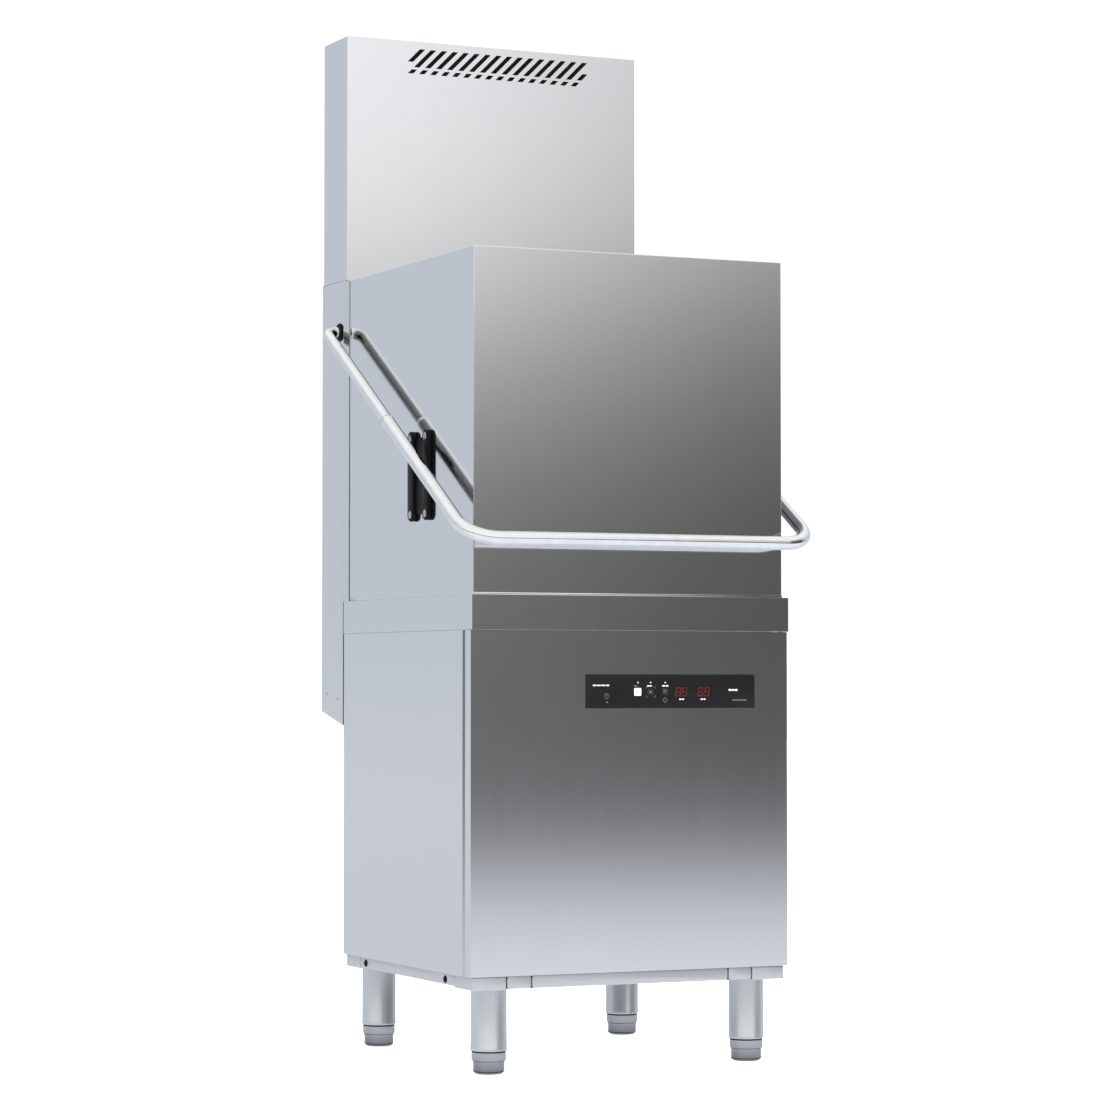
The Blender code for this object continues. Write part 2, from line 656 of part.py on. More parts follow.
# ---------------------------------------------------------------- handle
def handle():
    """One lifting handle: a grip bar, two arms and the shaft inside the column."""
    pivot_y, bar_y = depth(PIVOT_BACK), depth(BAR_BACK)
    joint_z = PIVOT_Z - ARM_SLOPE * (PIVOT_BACK - JOINT_BACK)
    joint_y = depth(JOINT_BACK)
    route = [(-ARM_X, joint_y, joint_z), (-ARM_X, bar_y, BAR_Z),
             (ARM_X, bar_y, BAR_Z), (ARM_X, joint_y, joint_z)]
    pipe("handle_bar", bend(route, CORNER_RADIUS, 7), BAR_RADIUS, CHROME, 3)
    run = Vector((0, PIVOT_BACK - JOINT_BACK, PIVOT_Z - joint_z)).normalized()
    for side, sign in SIDES:
        start = Vector((sign * ARM_X, joint_y, joint_z)) + run * GAP
        arm = [start, (sign * ARM_X, pivot_y, PIVOT_Z), (sign * 0.290, pivot_y, PIVOT_Z)]
        pipe("handle_arm_" + side, bend(arm, 0.020, 6), ARM_RADIUS, CHROME, 3)


CRANK_X = 0.240
CRANK_REACH = 0.048
SPRING_FOOT = 0.700


def lift_shaft():
    """Cross shaft that joins the arms, with two crank levers for the springs."""
    y = depth(PIVOT_BACK)
    shaft = rod("lift_shaft", (-0.2897, y, PIVOT_Z), (0.2897, y, PIVOT_Z), 0.010, INNER_STEEL, sides=20)
    for side, sign in SIDES:
        x = sign * CRANK_X
        weld(shaft, box("crank_" + side, (x - 0.003, y, PIVOT_Z - 0.009),
                        (x + 0.003, y + CRANK_REACH + 0.008, PIVOT_Z + 0.009), None, cutters))


def lift_spring(side, sign):
    """Long tension spring from the crank down to the foot of the column."""
    x, y = sign * CRANK_X, depth(PIVOT_BACK + CRANK_REACH)
    coil_radius, turns, per_turn = 0.012, 9, 8
    low, high, top = 0.98, 1.30, PIVOT_Z - 0.009 - 0.003
    spots = [(x, y, SPRING_FOOT), (x, y, low - 0.02)]
    for step in range(turns * per_turn + 1):
        angle = 2 * math.pi * step / per_turn
        z = low + (high - low) * step / (turns * per_turn)
        spots.append((x + coil_radius * math.cos(angle), y + coil_radius * math.sin(angle), z))
    spots += [(x, y, high + 0.02), (x, y, top)]
    pipe("lift_spring_" + side, spots, 0.0018, SPRING_STEEL, 1)


# ---------------------------------------------------------------- condenser
SLOT_COUNT = 17
SLOT_PITCH = 0.02345
SLOT_LEAN = 1.0             # sideways run of a slot for each metre that it rises
SLOT_WIDTH = 0.0112         # measured along X
VENT_LEFT = -0.1785
VENT_RIGHT = 0.1998
VENT_LOW = 1.8853
VENT_HIGH = 1.9340
BRIDGE_LOW = 1.8934
BRIDGE_HIGH = 1.8980


def condenser_housing():
    """Heat-recovery housing on the column, with two rows of slanted outlet slots."""
    half = CONDENSER_WIDTH / 2
    low = HOOD_TOP + GAP
    front, back = depth(COLUMN_FRONT), depth(CONDENSER_BACK)
    shell = box("condenser_housing", (-half, front, low), (half, back, CONDENSER_TOP), STEEL, bevel=0.0012)
    cut_box(shell, (-half + SHEET, front + SHEET, low - 0.05),
            (half - SHEET, back - SHEET, CONDENSER_TOP - SHEET))
    for outline in vent_slots():
        cut(shell, plate("slot_cutter", outline, front - 0.01, 0.02, "Y", None, cutters))


def vent_slots():
    """Outlines of the slanted slots, ended at the sides of the vent's field."""
    half = SLOT_WIDTH / 2
    first_top = VENT_LEFT + 1.1 * SLOT_PITCH
    for index in range(SLOT_COUNT):
        top = first_top + index * SLOT_PITCH
        lowest = max(VENT_LOW, VENT_HIGH - (top - VENT_LEFT) / SLOT_LEAN)
        highest = min(VENT_HIGH, VENT_HIGH - (top - VENT_RIGHT) / SLOT_LEAN)
        for low, high in ((lowest, min(BRIDGE_LOW, highest)), (max(BRIDGE_HIGH, lowest), highest)):
            if high - low < 0.004:
                continue
            x_low, x_high = (top - SLOT_LEAN * (VENT_HIGH - z) for z in (low, high))
            yield [(x_low - half, low), (x_low + half, low), (x_high + half, high), (x_high - half, high)]


def condenser_coil():
    """Finned coil block that the steam from the chamber passes through."""
    fins, low, high = 14, 1.485, 1.700
    half, root, pitch = 0.280, 0.010, 0.04
    front, back = COLUMN_FRONT + 0.012, CONDENSER_BACK - 0.012
    outline = [(-half, depth(back)), (-half, depth(front))]
    for index in range(fins):
        x = -half + index * pitch
        outline += [(x + pitch / 2, depth(front)), (x + pitch / 2, depth(back - root)),
                    (x + pitch, depth(back - root)), (x + pitch, depth(front))]
    outline = outline[:-2] + [(half, depth(back - root)), (half, depth(back))]
    plate("condenser_coil", outline, low, high - low, "Z", COPPER)


def condenser_fan():
    """Eight-bladed wheel on the motor's shaft."""
    x, z = 0.0, 1.800
    hub, tip, blades = 0.026, 0.082, 8
    outline = []
    for index in range(blades):
        start = 2 * math.pi * index / blades
        for radius, turn in ((hub, 0.0), (tip, 0.30), (tip, 0.62), (hub, 0.45)):
            outline.append((x + radius * math.cos(start + turn), z + radius * math.sin(start + turn)))
    plate("condenser_fan", outline, depth(0.6625), 0.022, "Y", BLACK)
    profile = [(0, 0.030), (0.045, 0.030), (0.048, 0.026), (0.048, 0), (0, 0)]
    turned("fan_motor", profile, (x, depth(0.7205), z), (0, -1, 0), CAST)


# ---------------------------------------------------------------- assembly
def build():
    base_frame()
    for row, behind in (("front", LEG_FRONT), ("rear", LEG_REAR)):
        for side, sign in SIDES:
            leg_and_foot(row + "_" + side, sign * LEG_X, behind)
    for side, sign in SIDES:
        side_panel(side, sign)
    front_panel()
    rear_panel()
    for fitting in REAR_FITTINGS:
        rear_fitting(*fitting)
    tank_rim()
    wash_tank()
    tank_strainer()
    overflow_pipe()
    tank_heater()
    spindles()
    wash_arms()
    rack_guides()
    wash_pump()
    rinse_boiler()
    control_panel()
    hood_shell()
    splash_back()
    column_cover()
    handle()
    lift_shaft()
    for side, sign in SIDES:
        arm_guide(side, sign)
        hood_slider(side, sign)
        guide_rail(side, sign)
        pivot_bush(side, sign)
        lift_spring(side, sign)
    condenser_housing()
    condenser_coil()
    condenser_fan()


build()
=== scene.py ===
"""Looks of the hood dishwasher round its CAD frame: materials, fine detail, studio light and camera."""
import json
import math

import bmesh
import bpy
from mathutils import Matrix, Vector

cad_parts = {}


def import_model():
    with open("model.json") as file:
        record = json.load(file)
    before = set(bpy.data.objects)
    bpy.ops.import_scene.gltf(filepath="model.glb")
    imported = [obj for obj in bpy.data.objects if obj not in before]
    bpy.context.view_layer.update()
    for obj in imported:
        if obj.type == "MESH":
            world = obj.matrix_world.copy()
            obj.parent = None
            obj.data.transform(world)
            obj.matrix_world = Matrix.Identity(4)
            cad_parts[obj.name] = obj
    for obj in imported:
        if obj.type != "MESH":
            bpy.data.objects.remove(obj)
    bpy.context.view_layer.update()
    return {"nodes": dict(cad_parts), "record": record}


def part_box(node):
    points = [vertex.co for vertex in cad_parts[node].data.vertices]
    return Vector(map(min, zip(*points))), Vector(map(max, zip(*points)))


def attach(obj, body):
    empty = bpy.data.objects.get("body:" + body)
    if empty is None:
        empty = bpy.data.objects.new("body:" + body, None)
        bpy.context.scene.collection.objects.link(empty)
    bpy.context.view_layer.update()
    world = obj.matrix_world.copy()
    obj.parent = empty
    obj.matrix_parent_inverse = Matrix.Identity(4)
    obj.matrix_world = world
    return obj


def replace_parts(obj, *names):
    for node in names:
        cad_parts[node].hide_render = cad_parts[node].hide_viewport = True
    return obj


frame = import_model()

NODES = frame["nodes"]
JOINTS = {joint["name"]: joint for joint in frame["record"]["behaviour"]["joints"]}
SIDES = (("left", -1), ("right", 1))
CORNERS = [(row, side) for row in ("front", "rear") for side in ("left", "right")]


# ---------- places read from the frame
HOOD_LOW, HOOD_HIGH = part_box("hood_shell")
RIM_LOW, RIM_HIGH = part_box("tank_rim")
BODY_LOW, BODY_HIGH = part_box("front_panel")
COLUMN_LOW, COLUMN_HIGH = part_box("column_cover")
CONDENSER_LOW, CONDENSER_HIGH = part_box("condenser_housing")
PANEL_LOW, PANEL_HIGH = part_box("control_panel")
FRAME_LOW, FRAME_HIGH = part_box("base_frame")
PIVOT = Vector(JOINTS["handle_swing"]["pos_m"])
WASH_AXIS = Vector(JOINTS["lower_wash_spin"]["pos_m"])


# ---------- camera and light
LENS = 112.67
CAMERA_SPOT = (-2.7467, -5.9120, 0.6991)
CAMERA_YAW = -0.434
CAMERA_PITCH = 0.0377


def camera():
    data = bpy.data.cameras.new("camera")
    data.lens = LENS
    data.sensor_width = 36
    data.clip_end = 100
    eye = bpy.data.objects.new("camera", data)
    eye.location = CAMERA_SPOT
    eye.rotation_euler = (math.pi / 2 + CAMERA_PITCH, 0, CAMERA_YAW)
    bpy.context.scene.collection.objects.link(eye)
    bpy.context.scene.camera = eye


def node(tree, kind, **values):
    """Add a node and set its properties or unlinked sockets."""
    made = tree.nodes.new(kind)
    for key, value in values.items():
        if key in made.inputs.keys():
            made.inputs[key].default_value = value
        else:
            setattr(made, key, value)
    return made


def ramp(tree, stops):
    """A colour ramp from (position, colour) stops; a plain number is a grey."""
    made = tree.nodes.new("ShaderNodeValToRGB")
    band = made.color_ramp
    for index, (place, colour) in enumerate(stops):
        grey = isinstance(colour, (int, float))
        stop = band.elements[index] if index < 2 else band.elements.new(place)
        stop.position = place
        stop.color = (colour, colour, colour, 1) if grey else (*colour, 1)
    return made


# What the polished fronts mirror: how bright the studio is at each height of the
# reflected direction (its Z), from the lit floor through a dark wall to soft boxes.
MIRROR_SPAN = 0.5
FRONT_STUDIO = (
    (-0.250, (0.92, 0.96, 1.02)), (-0.082, (0.88, 0.93, 1.01)), (-0.072, (0.84, 0.88, 0.95)),
    (-0.062, (0.68, 0.705, 0.76)), (-0.051, (0.210, 0.214, 0.224)), (-0.041, 0.108), (-0.026, 0.128),
    (-0.006, 0.166), (0.018, 0.190), (0.034, 0.205), (0.052, 0.272), (0.067, 0.362), (0.081, 0.458),
    (0.096, 0.610), (0.112, 0.820), (0.126, (0.93, 0.93, 0.94)), (0.145, (1.05, 1.05, 1.07)),
    (0.175, (1.07, 1.075, 1.10)),
)
SIDE_STUDIO = (
    (-0.250, (0.74, 0.77, 0.80)), (-0.066, (0.665, 0.705, 0.755)), (-0.035, (0.700, 0.738, 0.775)),
    (-0.008, (0.655, 0.692, 0.742)), (0.020, (0.605, 0.654, 0.720)), (0.250, (0.610, 0.662, 0.728)),
)
# How much the mirrored studio dims from the camera's side to the far side, at each height.
FALLOFF = ((-0.250, 0.0), (-0.056, 0.02), (-0.036, 0.30), (-0.018, 0.42), (0.020, 0.55), (0.060, 0.64),
           (0.105, 0.66), (0.130, 0.54), (0.175, 0.42))
FALLOFF_ACROSS = (0.370, 0.478)
# A dark flag beyond the right-hand end, as (axis, where it is absent, where it is full).
FLAG = (("X", 0.53, 0.62), ("Y", -0.12, -0.34), ("Z", -0.15, -0.09))
FLAG_TONE = (0.10, 0.10, 0.105)
FRONT_TO_SIDE = (-0.35, 0.25)
WALL_TO_CEILING = (0.35, 0.75)


def spread(tree, source, low, high, start=0.3, end=0.7):
    """Remap a value from start and end to low and high; the defaults suit a noise."""
    span = node(tree, "ShaderNodeMapRange", clamp=True)
    for socket, value in zip(span.inputs[1:5], (start, end, low, high)):
        socket.default_value = value
    tree.links.new(source, span.inputs[0])
    return span.outputs[0]


def blend(tree, share, first, second):
    """Mix two colours, each a fixed one or a socket, by a value."""
    mix = node(tree, "ShaderNodeMix", data_type="RGBA")
    tree.links.new(share, mix.inputs[0])
    for socket, colour in zip(mix.inputs[6:8], (first, second)):
        if isinstance(colour, tuple):
            socket.default_value = (*colour, 1)
        else:
            tree.links.new(colour, socket)
    return mix.outputs[2]


def product(tree, first, *others):
    """Multiply values."""
    for other in others:
        times = node(tree, "ShaderNodeMath", operation="MULTIPLY")
        tree.links.new(first, times.inputs[0])
        tree.links.new(other, times.inputs[1])
        first = times.outputs[0]
    return first


def own_axes(tree, output):
    """One of the texture coordinate outputs, split into X, Y and Z."""
    place, axes = node(tree, "ShaderNodeTexCoord"), node(tree, "ShaderNodeSeparateXYZ")
    tree.links.new(place.outputs[output], axes.inputs[0])
    return axes.outputs


def world():
    """A white surround for the eye, and a graded studio for reflections and fill light."""
    space = bpy.data.worlds.new("studio")
    bpy.context.scene.world = space
    space.use_nodes = True
    tree = space.node_tree
    tree.nodes.clear()
    link = tree.links.new
    axes = own_axes(tree, "Generated")
    height = spread(tree, axes["Z"], 0.0, 1.0, -MIRROR_SPAN / 2, MIRROR_SPAN / 2)
    bands = []
    for stops in (FRONT_STUDIO, SIDE_STUDIO, FALLOFF):
        band = ramp(tree, [(0.5 + z / MIRROR_SPAN, level) for z, level in stops])
        link(height, band.inputs[0])
        bands.append(band.outputs["Color"])
    front, side, falloff = bands
    amount = product(tree, spread(tree, axes["X"], 0.0, 1.0, *FALLOFF_ACROSS), falloff)
    walls = blend(tree, spread(tree, axes["Y"], 0.0, 1.0, *FRONT_TO_SIDE),
                  blend(tree, amount, front, (0, 0, 0)), side)
    flag = product(tree, *(spread(tree, axes[axis], 0.0, 1.0, absent, full) for axis, absent, full in FLAG))
    ceiling = spread(tree, axes["Z"], 0.0, 1.0, *WALL_TO_CEILING)
    mirrored = blend(tree, ceiling, blend(tree, flag, walls, FLAG_TONE), (1.0, 1.0, 1.0))
    lit = node(tree, "ShaderNodeBackground", Strength=1.0)
    link(mirrored, lit.inputs["Color"])
    plain = node(tree, "ShaderNodeBackground", Color=(1, 1, 1, 1), Strength=1.1)
    seen = node(tree, "ShaderNodeLightPath")
    choose = node(tree, "ShaderNodeMixShader")
    link(seen.outputs["Is Camera Ray"], choose.inputs[0])
    link(lit.outputs[0], choose.inputs[1])
    link(plain.outputs[0], choose.inputs[2])
    out = node(tree, "ShaderNodeOutputWorld")
    link(choose.outputs[0], out.inputs[0])


def sky_lamp(name, towards, power):
    """Very wide, soft overhead light that keeps the whole floor evenly white."""
    data = bpy.data.lights.new(name, "SUN")
    data.energy = power
    data.angle = math.radians(100)
    lamp = bpy.data.objects.new(name, data)
    lamp.rotation_euler = Vector(towards).to_track_quat("Z", "Y").to_euler()
    lamp.location = (0, 0, 4)
    lamp.visible_glossy = False
    bpy.context.scene.collection.objects.link(lamp)


def studio():
    """Pale floor, one wide soft lamp, and colours shown as they are."""
    bpy.ops.mesh.primitive_plane_add(size=60, location=(0, 0, -0.0005))
    floor = bpy.context.object
    floor.name = "floor"
    floor.visible_glossy = False
    pale = blank("pale_floor", (0.93, 0.93, 0.93), 0.9, Specular_IOR_Level=0.0,
                 Emission_Color=(1, 1, 1, 1), Emission_Strength=0.78)[0]
    floor.data.materials.append(pale)
    sky_lamp("overhead", (0.15, -0.25, 1.0), 2.2)
    bpy.context.scene.view_settings.view_transform = "Standard"


# ---------- materials
def blank(name, colour, roughness, metallic=0.0, **sockets):
    made = bpy.data.materials.new(name)
    made.use_nodes = True
    shader = made.node_tree.nodes["Principled BSDF"]
    shader.inputs["Base Color"].default_value = (*colour, 1)
    shader.inputs["Roughness"].default_value = roughness
    shader.inputs["Metallic"].default_value = metallic
    for key, value in sockets.items():
        shader.inputs[key.replace("_", " ")].default_value = value
    return made, made.node_tree, shader


def noise(tree, scale, detail=2.0, stretch=(1, 1, 1)):
    """Noise over the piece's own coordinates; a small stretch draws it out along that axis."""
    place = node(tree, "ShaderNodeTexCoord")
    mapping = node(tree, "ShaderNodeMapping")
    mapping.inputs["Scale"].default_value = stretch
    grain = node(tree, "ShaderNodeTexNoise", Scale=scale, Detail=detail)
    tree.links.new(place.outputs["Object"], mapping.inputs["Vector"])
    tree.links.new(mapping.outputs[0], grain.inputs["Vector"])
    return grain.outputs["Fac"]


def toned(colour, share):
    return tuple(channel * share for channel in colour)


def patchy(tree, shader, source, dark, light):
    """Let a noise move the colour between two tones."""
    tree.links.new(blend(tree, spread(tree, source, 0.0, 1.0), dark, light), shader.inputs["Base Color"])


def uneven(tree, shader, source, roughness, least, most, **span):
    """Let a noise move the roughness between two shares of itself."""
    value = spread(tree, source, roughness * least, roughness * most, **span)
    tree.links.new(value, shader.inputs["Roughness"])


def bumped(tree, shader, source, strength, distance):
    bump = node(tree, "ShaderNodeBump", Strength=strength, Distance=distance)
    tree.links.new(source, bump.inputs["Height"])
    tree.links.new(bump.outputs[0], shader.inputs["Normal"])


def brushed(name, colour, roughness, along="Z"):
    """Satin steel: fine grain lines along one axis, broader streaks and faint cloudy wear."""
    made, tree, shader = blank(name, colour, roughness, 1.0)
    fine, broad = (tuple(draw if letter == along else 1.0 for letter in "XYZ") for draw in (0.012, 0.05))
    grain = noise(tree, 1400, 3.0, fine)
    join = node(tree, "ShaderNodeMath", operation="ADD")
    tree.links.new(spread(tree, noise(tree, 60, 3.0, broad), 0.0, 0.6), join.inputs[0])
    tree.links.new(spread(tree, noise(tree, 3.0, 2.0), 0.0, 0.4), join.inputs[1])
    uneven(tree, shader, join.outputs[0], roughness, 0.96, 1.05, start=0.0, end=1.0)
    patchy(tree, shader, grain, toned(colour, 0.99), colour)
    bumped(tree, shader, grain, 0.008, 0.00002)
    return made


def moulded(name, colour, roughness, scale=900, depth=0.00006, sheen=0.5):
    """Plastic with a fine moulded grain and slightly uneven sheen."""
    made, tree, shader = blank(name, colour, roughness, Specular_IOR_Level=sheen)
    worn = tuple(min(1.0, channel * 1.15 + 0.001) for channel in colour)
    uneven(tree, shader, noise(tree, 12, 3.0), roughness, 0.8, 1.2)
    patchy(tree, shader, noise(tree, 30, 4.0), colour, worn)
    bumped(tree, shader, noise(tree, scale, 3.0), 0.5, depth)
    return made


def smooth_metal(name, colour, roughness):
    """Polished tube or spun part with faint handling smears."""
    made, tree, shader = blank(name, colour, roughness, 1.0)
    uneven(tree, shader, noise(tree, 18, 4.0), roughness, 0.65, 1.35)
    patchy(tree, shader, noise(tree, 45, 2.0), toned(colour, 0.94), colour)
    return made


def overlay(made, share, colour):
    """Blend a second colour over a material's own, by a value; here it paints shade."""
    base = made.node_tree.nodes["Principled BSDF"].inputs["Base Color"]
    made.node_tree.links.new(blend(made.node_tree, share, base.links[0].from_socket, colour), base)


def tube_with_painted_shade(name, colour, shaded, roughness):
    """Polished tube of the handle with painted shade: its colour is darker on the sides that turn towards the
    hood, standing in for the hood's dark reflection.
    """
    made = smooth_metal(name, colour, roughness)
    tree = made.node_tree
    # Painted shade: the share is highest where the tube's normal points in towards the hood.
    painted_shade_share = product(tree, own_axes(tree, "Object")["X"], own_axes(tree, "Normal")["X"])
    overlay(made, spread(tree, painted_shade_share, 1.0, 0.0, -0.14, -0.03), shaded)
    return made


def satin_paint(name, colour, roughness, metallic=0.75):
    """Bead-blasted steel, short of fully metallic so that it also takes soft light from the floor."""
    made, tree, shader = blank(name, colour, roughness, metallic)
    patchy(tree, shader, noise(tree, 220, 4.0, (1, 1, 0.15)), toned(colour, 0.965), colour)
    uneven(tree, shader, noise(tree, 25, 3.0), roughness, 0.96, 1.05, start=0.1, end=0.9)
    bumped(tree, shader, noise(tree, 900, 2.0), 0.08, 0.00003)
    return made


def foot_steel_painted_shade(name, colour, shaded, roughness, low, high):
    """Satin steel with painted shade: its colour darkens towards the floor, from height high down to low."""
    made = satin_paint(name, colour, roughness)
    height = own_axes(made.node_tree, "Object")["Z"]
    # Painted shade: darker towards the floor.
    overlay(made, spread(made.node_tree, height, 1.0, 0.0, low, high), shaded)
    return made


def cast(name, colour, roughness, metallic):
    """Cast or painted metal with an orange-peel skin."""
    made, tree, shader = blank(name, colour, roughness, metallic)
    patchy(tree, shader, noise(tree, 60, 5.0), toned(colour, 0.75), colour)
    bumped(tree, shader, noise(tree, 420, 3.0), 0.6, 0.0002)
    return made


def glowing(name, colour, strength):
    """Display segment with a slightly uneven glow; the unlit ones glow faintly as painted light."""
    made, tree, shader = blank(name, (0.05, 0.0, 0.0), 0.3, Emission_Color=(*colour, 1),
                               Emission_Strength=strength)
    glow = spread(tree, noise(tree, 700, 2.0), 0.0, 1.0)
    tree.links.new(blend(tree, glow, toned(colour, 0.8), colour), shader.inputs["Emission Color"])
    return made


STEEL_TONE = (0.80, 0.803, 0.808)
TUBE_TONE = (0.90, 0.905, 0.91)
STEEL = brushed("brushed_steel", STEEL_TONE, 0.105)
SIDE_STEEL = brushed("side_steel", STEEL_TONE, 0.13)
INNER_STEEL = brushed("inner_steel", (0.66, 0.67, 0.68), 0.30, "X")
LEG_STEEL = satin_paint("leg_steel", (0.590, 0.614, 0.633), 0.30)
FRAME_STEEL = satin_paint("frame_steel", (0.49, 0.505, 0.525), 0.36, 0.55)
CHROME = smooth_metal("polished_tube", TUBE_TONE, 0.075)
# Painted shade on the handle: darker on the sides facing the hood, for the hood's dark reflection.
ARM_CHROME_PAINTED_SHADE = tube_with_painted_shade("handle_tube_painted_shade", TUBE_TONE, (0.17, 0.172, 0.178), 0.075)
# Painted shade: the feet darken towards the floor.
FOOT_STEEL_PAINTED_SHADE = foot_steel_painted_shade("foot_steel_painted_shade", (0.480, 0.495, 0.515), (0.165, 0.170, 0.180), 0.28, 0.002, 0.044)
SCREW_STEEL = smooth_metal("screw_steel", (0.58, 0.58, 0.60), 0.25)
RATING = smooth_metal("rating_plate", (0.74, 0.75, 0.76), 0.42)
SPRING = smooth_metal("spring_steel", (0.34, 0.35, 0.37), 0.35)
FINS = brushed("coil_fins", (0.72, 0.70, 0.66), 0.35)
BLACK = moulded("black_plastic", (0.004, 0.004, 0.0045), 0.42, sheen=0.10)
# Painted shade: a near-black sheet behind the vent slots.
VENT_SHADE = moulded("vent_shade_sheet", (0.004, 0.004, 0.004), 0.95)
DARK_GAP = moulded("dark_gap", (0.05, 0.052, 0.055), 0.7)
SHADOW_GAP = moulded("shadow_gap", (0.012, 0.012, 0.013), 0.8, sheen=0.2)
# Grey for the column's top seams and for the painted shadow under the tank rim.
SEAM_AND_SHADOW_GREY = moulded("seam_and_shadow_grey", (0.13, 0.135, 0.14), 0.6, sheen=0.3)
PANEL_FILM = moulded("panel_film", (0.008, 0.008, 0.0085), 0.34, 300, 0.00001, 0.2)
PANEL_EDGE = moulded("panel_edge", (0.004, 0.004, 0.004), 0.35, 300, 0.00001)
WHITE_KEY = moulded("white_key", (0.86, 0.86, 0.86), 0.32, 500, 0.00001)
GREY_KEY = moulded("grey_key", (0.020, 0.020, 0.021), 0.38, 500, 0.00002, 0.25)
PRINT_WHITE = moulded("print_white", (0.75, 0.75, 0.75), 0.5, 500, 0.00001)
PRINT_GREY = moulded("print_grey", (0.15, 0.15, 0.15), 0.5, 500, 0.00001)
SEGMENT_ON = glowing("segment_on", (0.85, 0.030, 0.045), 0.24)
# Painted light: the unlit segments glow faintly.
SEGMENT_OFF_PAINTED_GLOW = glowing("segment_off_painted_glow", (0.20, 0.01, 0.015), 0.12)
CAST = cast("cast_grey", (0.30, 0.31, 0.33), 0.5, 0.6)


# ---------- modelling helpers
def keep(piece, body, mat):
    """Finish a new piece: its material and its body."""
    piece.data.materials.clear()
    piece.data.materials.append(mat)
    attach(piece, body)
    return piece


def modify(piece, name, kind, **values):
    change = piece.modifiers.new(name, kind)
    for key, value in values.items():
        setattr(change, key, value)


def finished_mesh(piece):
    """A piece's mesh with its modifiers, or a curve's tube, worked out."""
    bpy.context.view_layer.update()
    return bpy.data.meshes.new_from_object(piece.evaluated_get(bpy.context.evaluated_depsgraph_get()))


def from_bmesh(name, work, smooth_below=40):
    mesh = bpy.data.meshes.new(name)
    work.to_mesh(mesh)
    work.free()
    mesh.shade_smooth()
    mesh.set_sharp_from_angle(angle=math.radians(smooth_below))
    piece = bpy.data.objects.new(name, mesh)
    bpy.context.scene.collection.objects.link(piece)
    return piece


def middle(low, high):
    return (low + high) / 2


def slab(name, low, high, radius=0.0, steps=2):
    """A block with rounded edges."""
    work = bmesh.new()
    bmesh.ops.create_cube(work, size=1.0)
    low, high = Vector(low), Vector(high)
    bmesh.ops.scale(work, vec=high - low, verts=work.verts)
    bmesh.ops.translate(work, vec=(high + low) / 2, verts=work.verts)
    if radius:
        bmesh.ops.bevel(work, geom=work.edges[:], offset=radius, segments=steps, affect="EDGES", profile=0.5)
    return from_bmesh(name, work)


def ring_profile(outer, inner, low, high):
    """Closed profile of a plain ring."""
    return [(outer, high), (outer, low), (inner, low), (inner, high), (outer, high)]


def lathe(name, profile, centre, axis=(0, 0, 1), sides=64, smooth_below=30):
    """A turned piece; the profile is (radius, height), from the top down its outer side."""
    work = bmesh.new()
    angles = [2 * math.pi * step / sides for step in range(sides)]
    circle = [(math.cos(angle), math.sin(angle)) for angle in angles]
    rings = []
    for radius, height in profile:
        if radius < 1e-6:
            rings.append([work.verts.new((0, 0, height))])
        else:
            rings.append([work.verts.new((radius * u, radius * v, height)) for u, v in circle])
    for upper, lower in zip(rings, rings[1:]):
        for step in range(sides):
            after = (step + 1) % sides
            if len(upper) == 1:
                work.faces.new((upper[0], lower[step], lower[after]))
            elif len(lower) == 1:
                work.faces.new((upper[step], lower[0], upper[after]))
            else:
                work.faces.new((upper[step], lower[step], lower[after], upper[after]))
    turn = Vector((0, 0, 1)).rotation_difference(Vector(axis)).to_matrix().to_4x4()
    bmesh.ops.transform(work, matrix=Matrix.Translation(centre) @ turn, verts=work.verts)
    bmesh.ops.recalc_face_normals(work, faces=work.faces)
    return from_bmesh(name, work, smooth_below)


def tube(name, points, radius):
    """A round tube along the given points, as a mesh."""
    curve = bpy.data.curves.new(name, "CURVE")
    curve.dimensions = "3D"
    curve.bevel_depth = radius
    curve.bevel_resolution = 10
    curve.use_fill_caps = True
    line = curve.splines.new("POLY")
    line.points.add(len(points) - 1)
    for point, spot in zip(line.points, points):
        point.co = (*spot, 1)
    guide = bpy.data.objects.new(name + "_line", curve)
    bpy.context.scene.collection.objects.link(guide)
    shape = finished_mesh(guide)
    bpy.data.objects.remove(guide, do_unlink=True)
    work = bmesh.new()
    work.from_mesh(shape)
    bmesh.ops.remove_doubles(work, verts=work.verts, dist=0.00002)
    bmesh.ops.recalc_face_normals(work, faces=work.faces)
    return from_bmesh(name, work)


def prism(name, outline, start, thickness, along, radius=0.0):
    """A flat outline ((y, z), (x, z) or (x, y) for X, Y or Z) given thickness along one axis."""
    work = bmesh.new()

    def spot(u, v, w):
        return {"X": (w, u, v), "Y": (u, w, v), "Z": (u, v, w)}[along]

    base = [work.verts.new(spot(u, v, start)) for u, v in outline]
    face = work.faces.new(base)
    raised = bmesh.ops.extrude_face_region(work, geom=[face])
    move = Vector(spot(0, 0, thickness))
    verts = [item for item in raised["geom"] if isinstance(item, bmesh.types.BMVert)]
    bmesh.ops.translate(work, vec=move, verts=verts)
    bmesh.ops.recalc_face_normals(work, faces=work.faces)
    if radius:
        rim = [e for e in work.edges if abs((e.verts[0].co - e.verts[1].co)["XYZ".index(along)]) < 1e-7]
        bmesh.ops.bevel(work, geom=rim, offset=radius, segments=2, affect="EDGES", profile=0.5)
    return from_bmesh(name, work)


def arc(centre, radius, start, end, steps):
    """Points of a flat arc, angles in degrees."""
    spots = []
    for step in range(steps + 1):
        angle = math.radians(start + (end - start) * step / steps)
        spots.append((centre[0] + radius * math.cos(angle), centre[1] + radius * math.sin(angle)))
    return spots


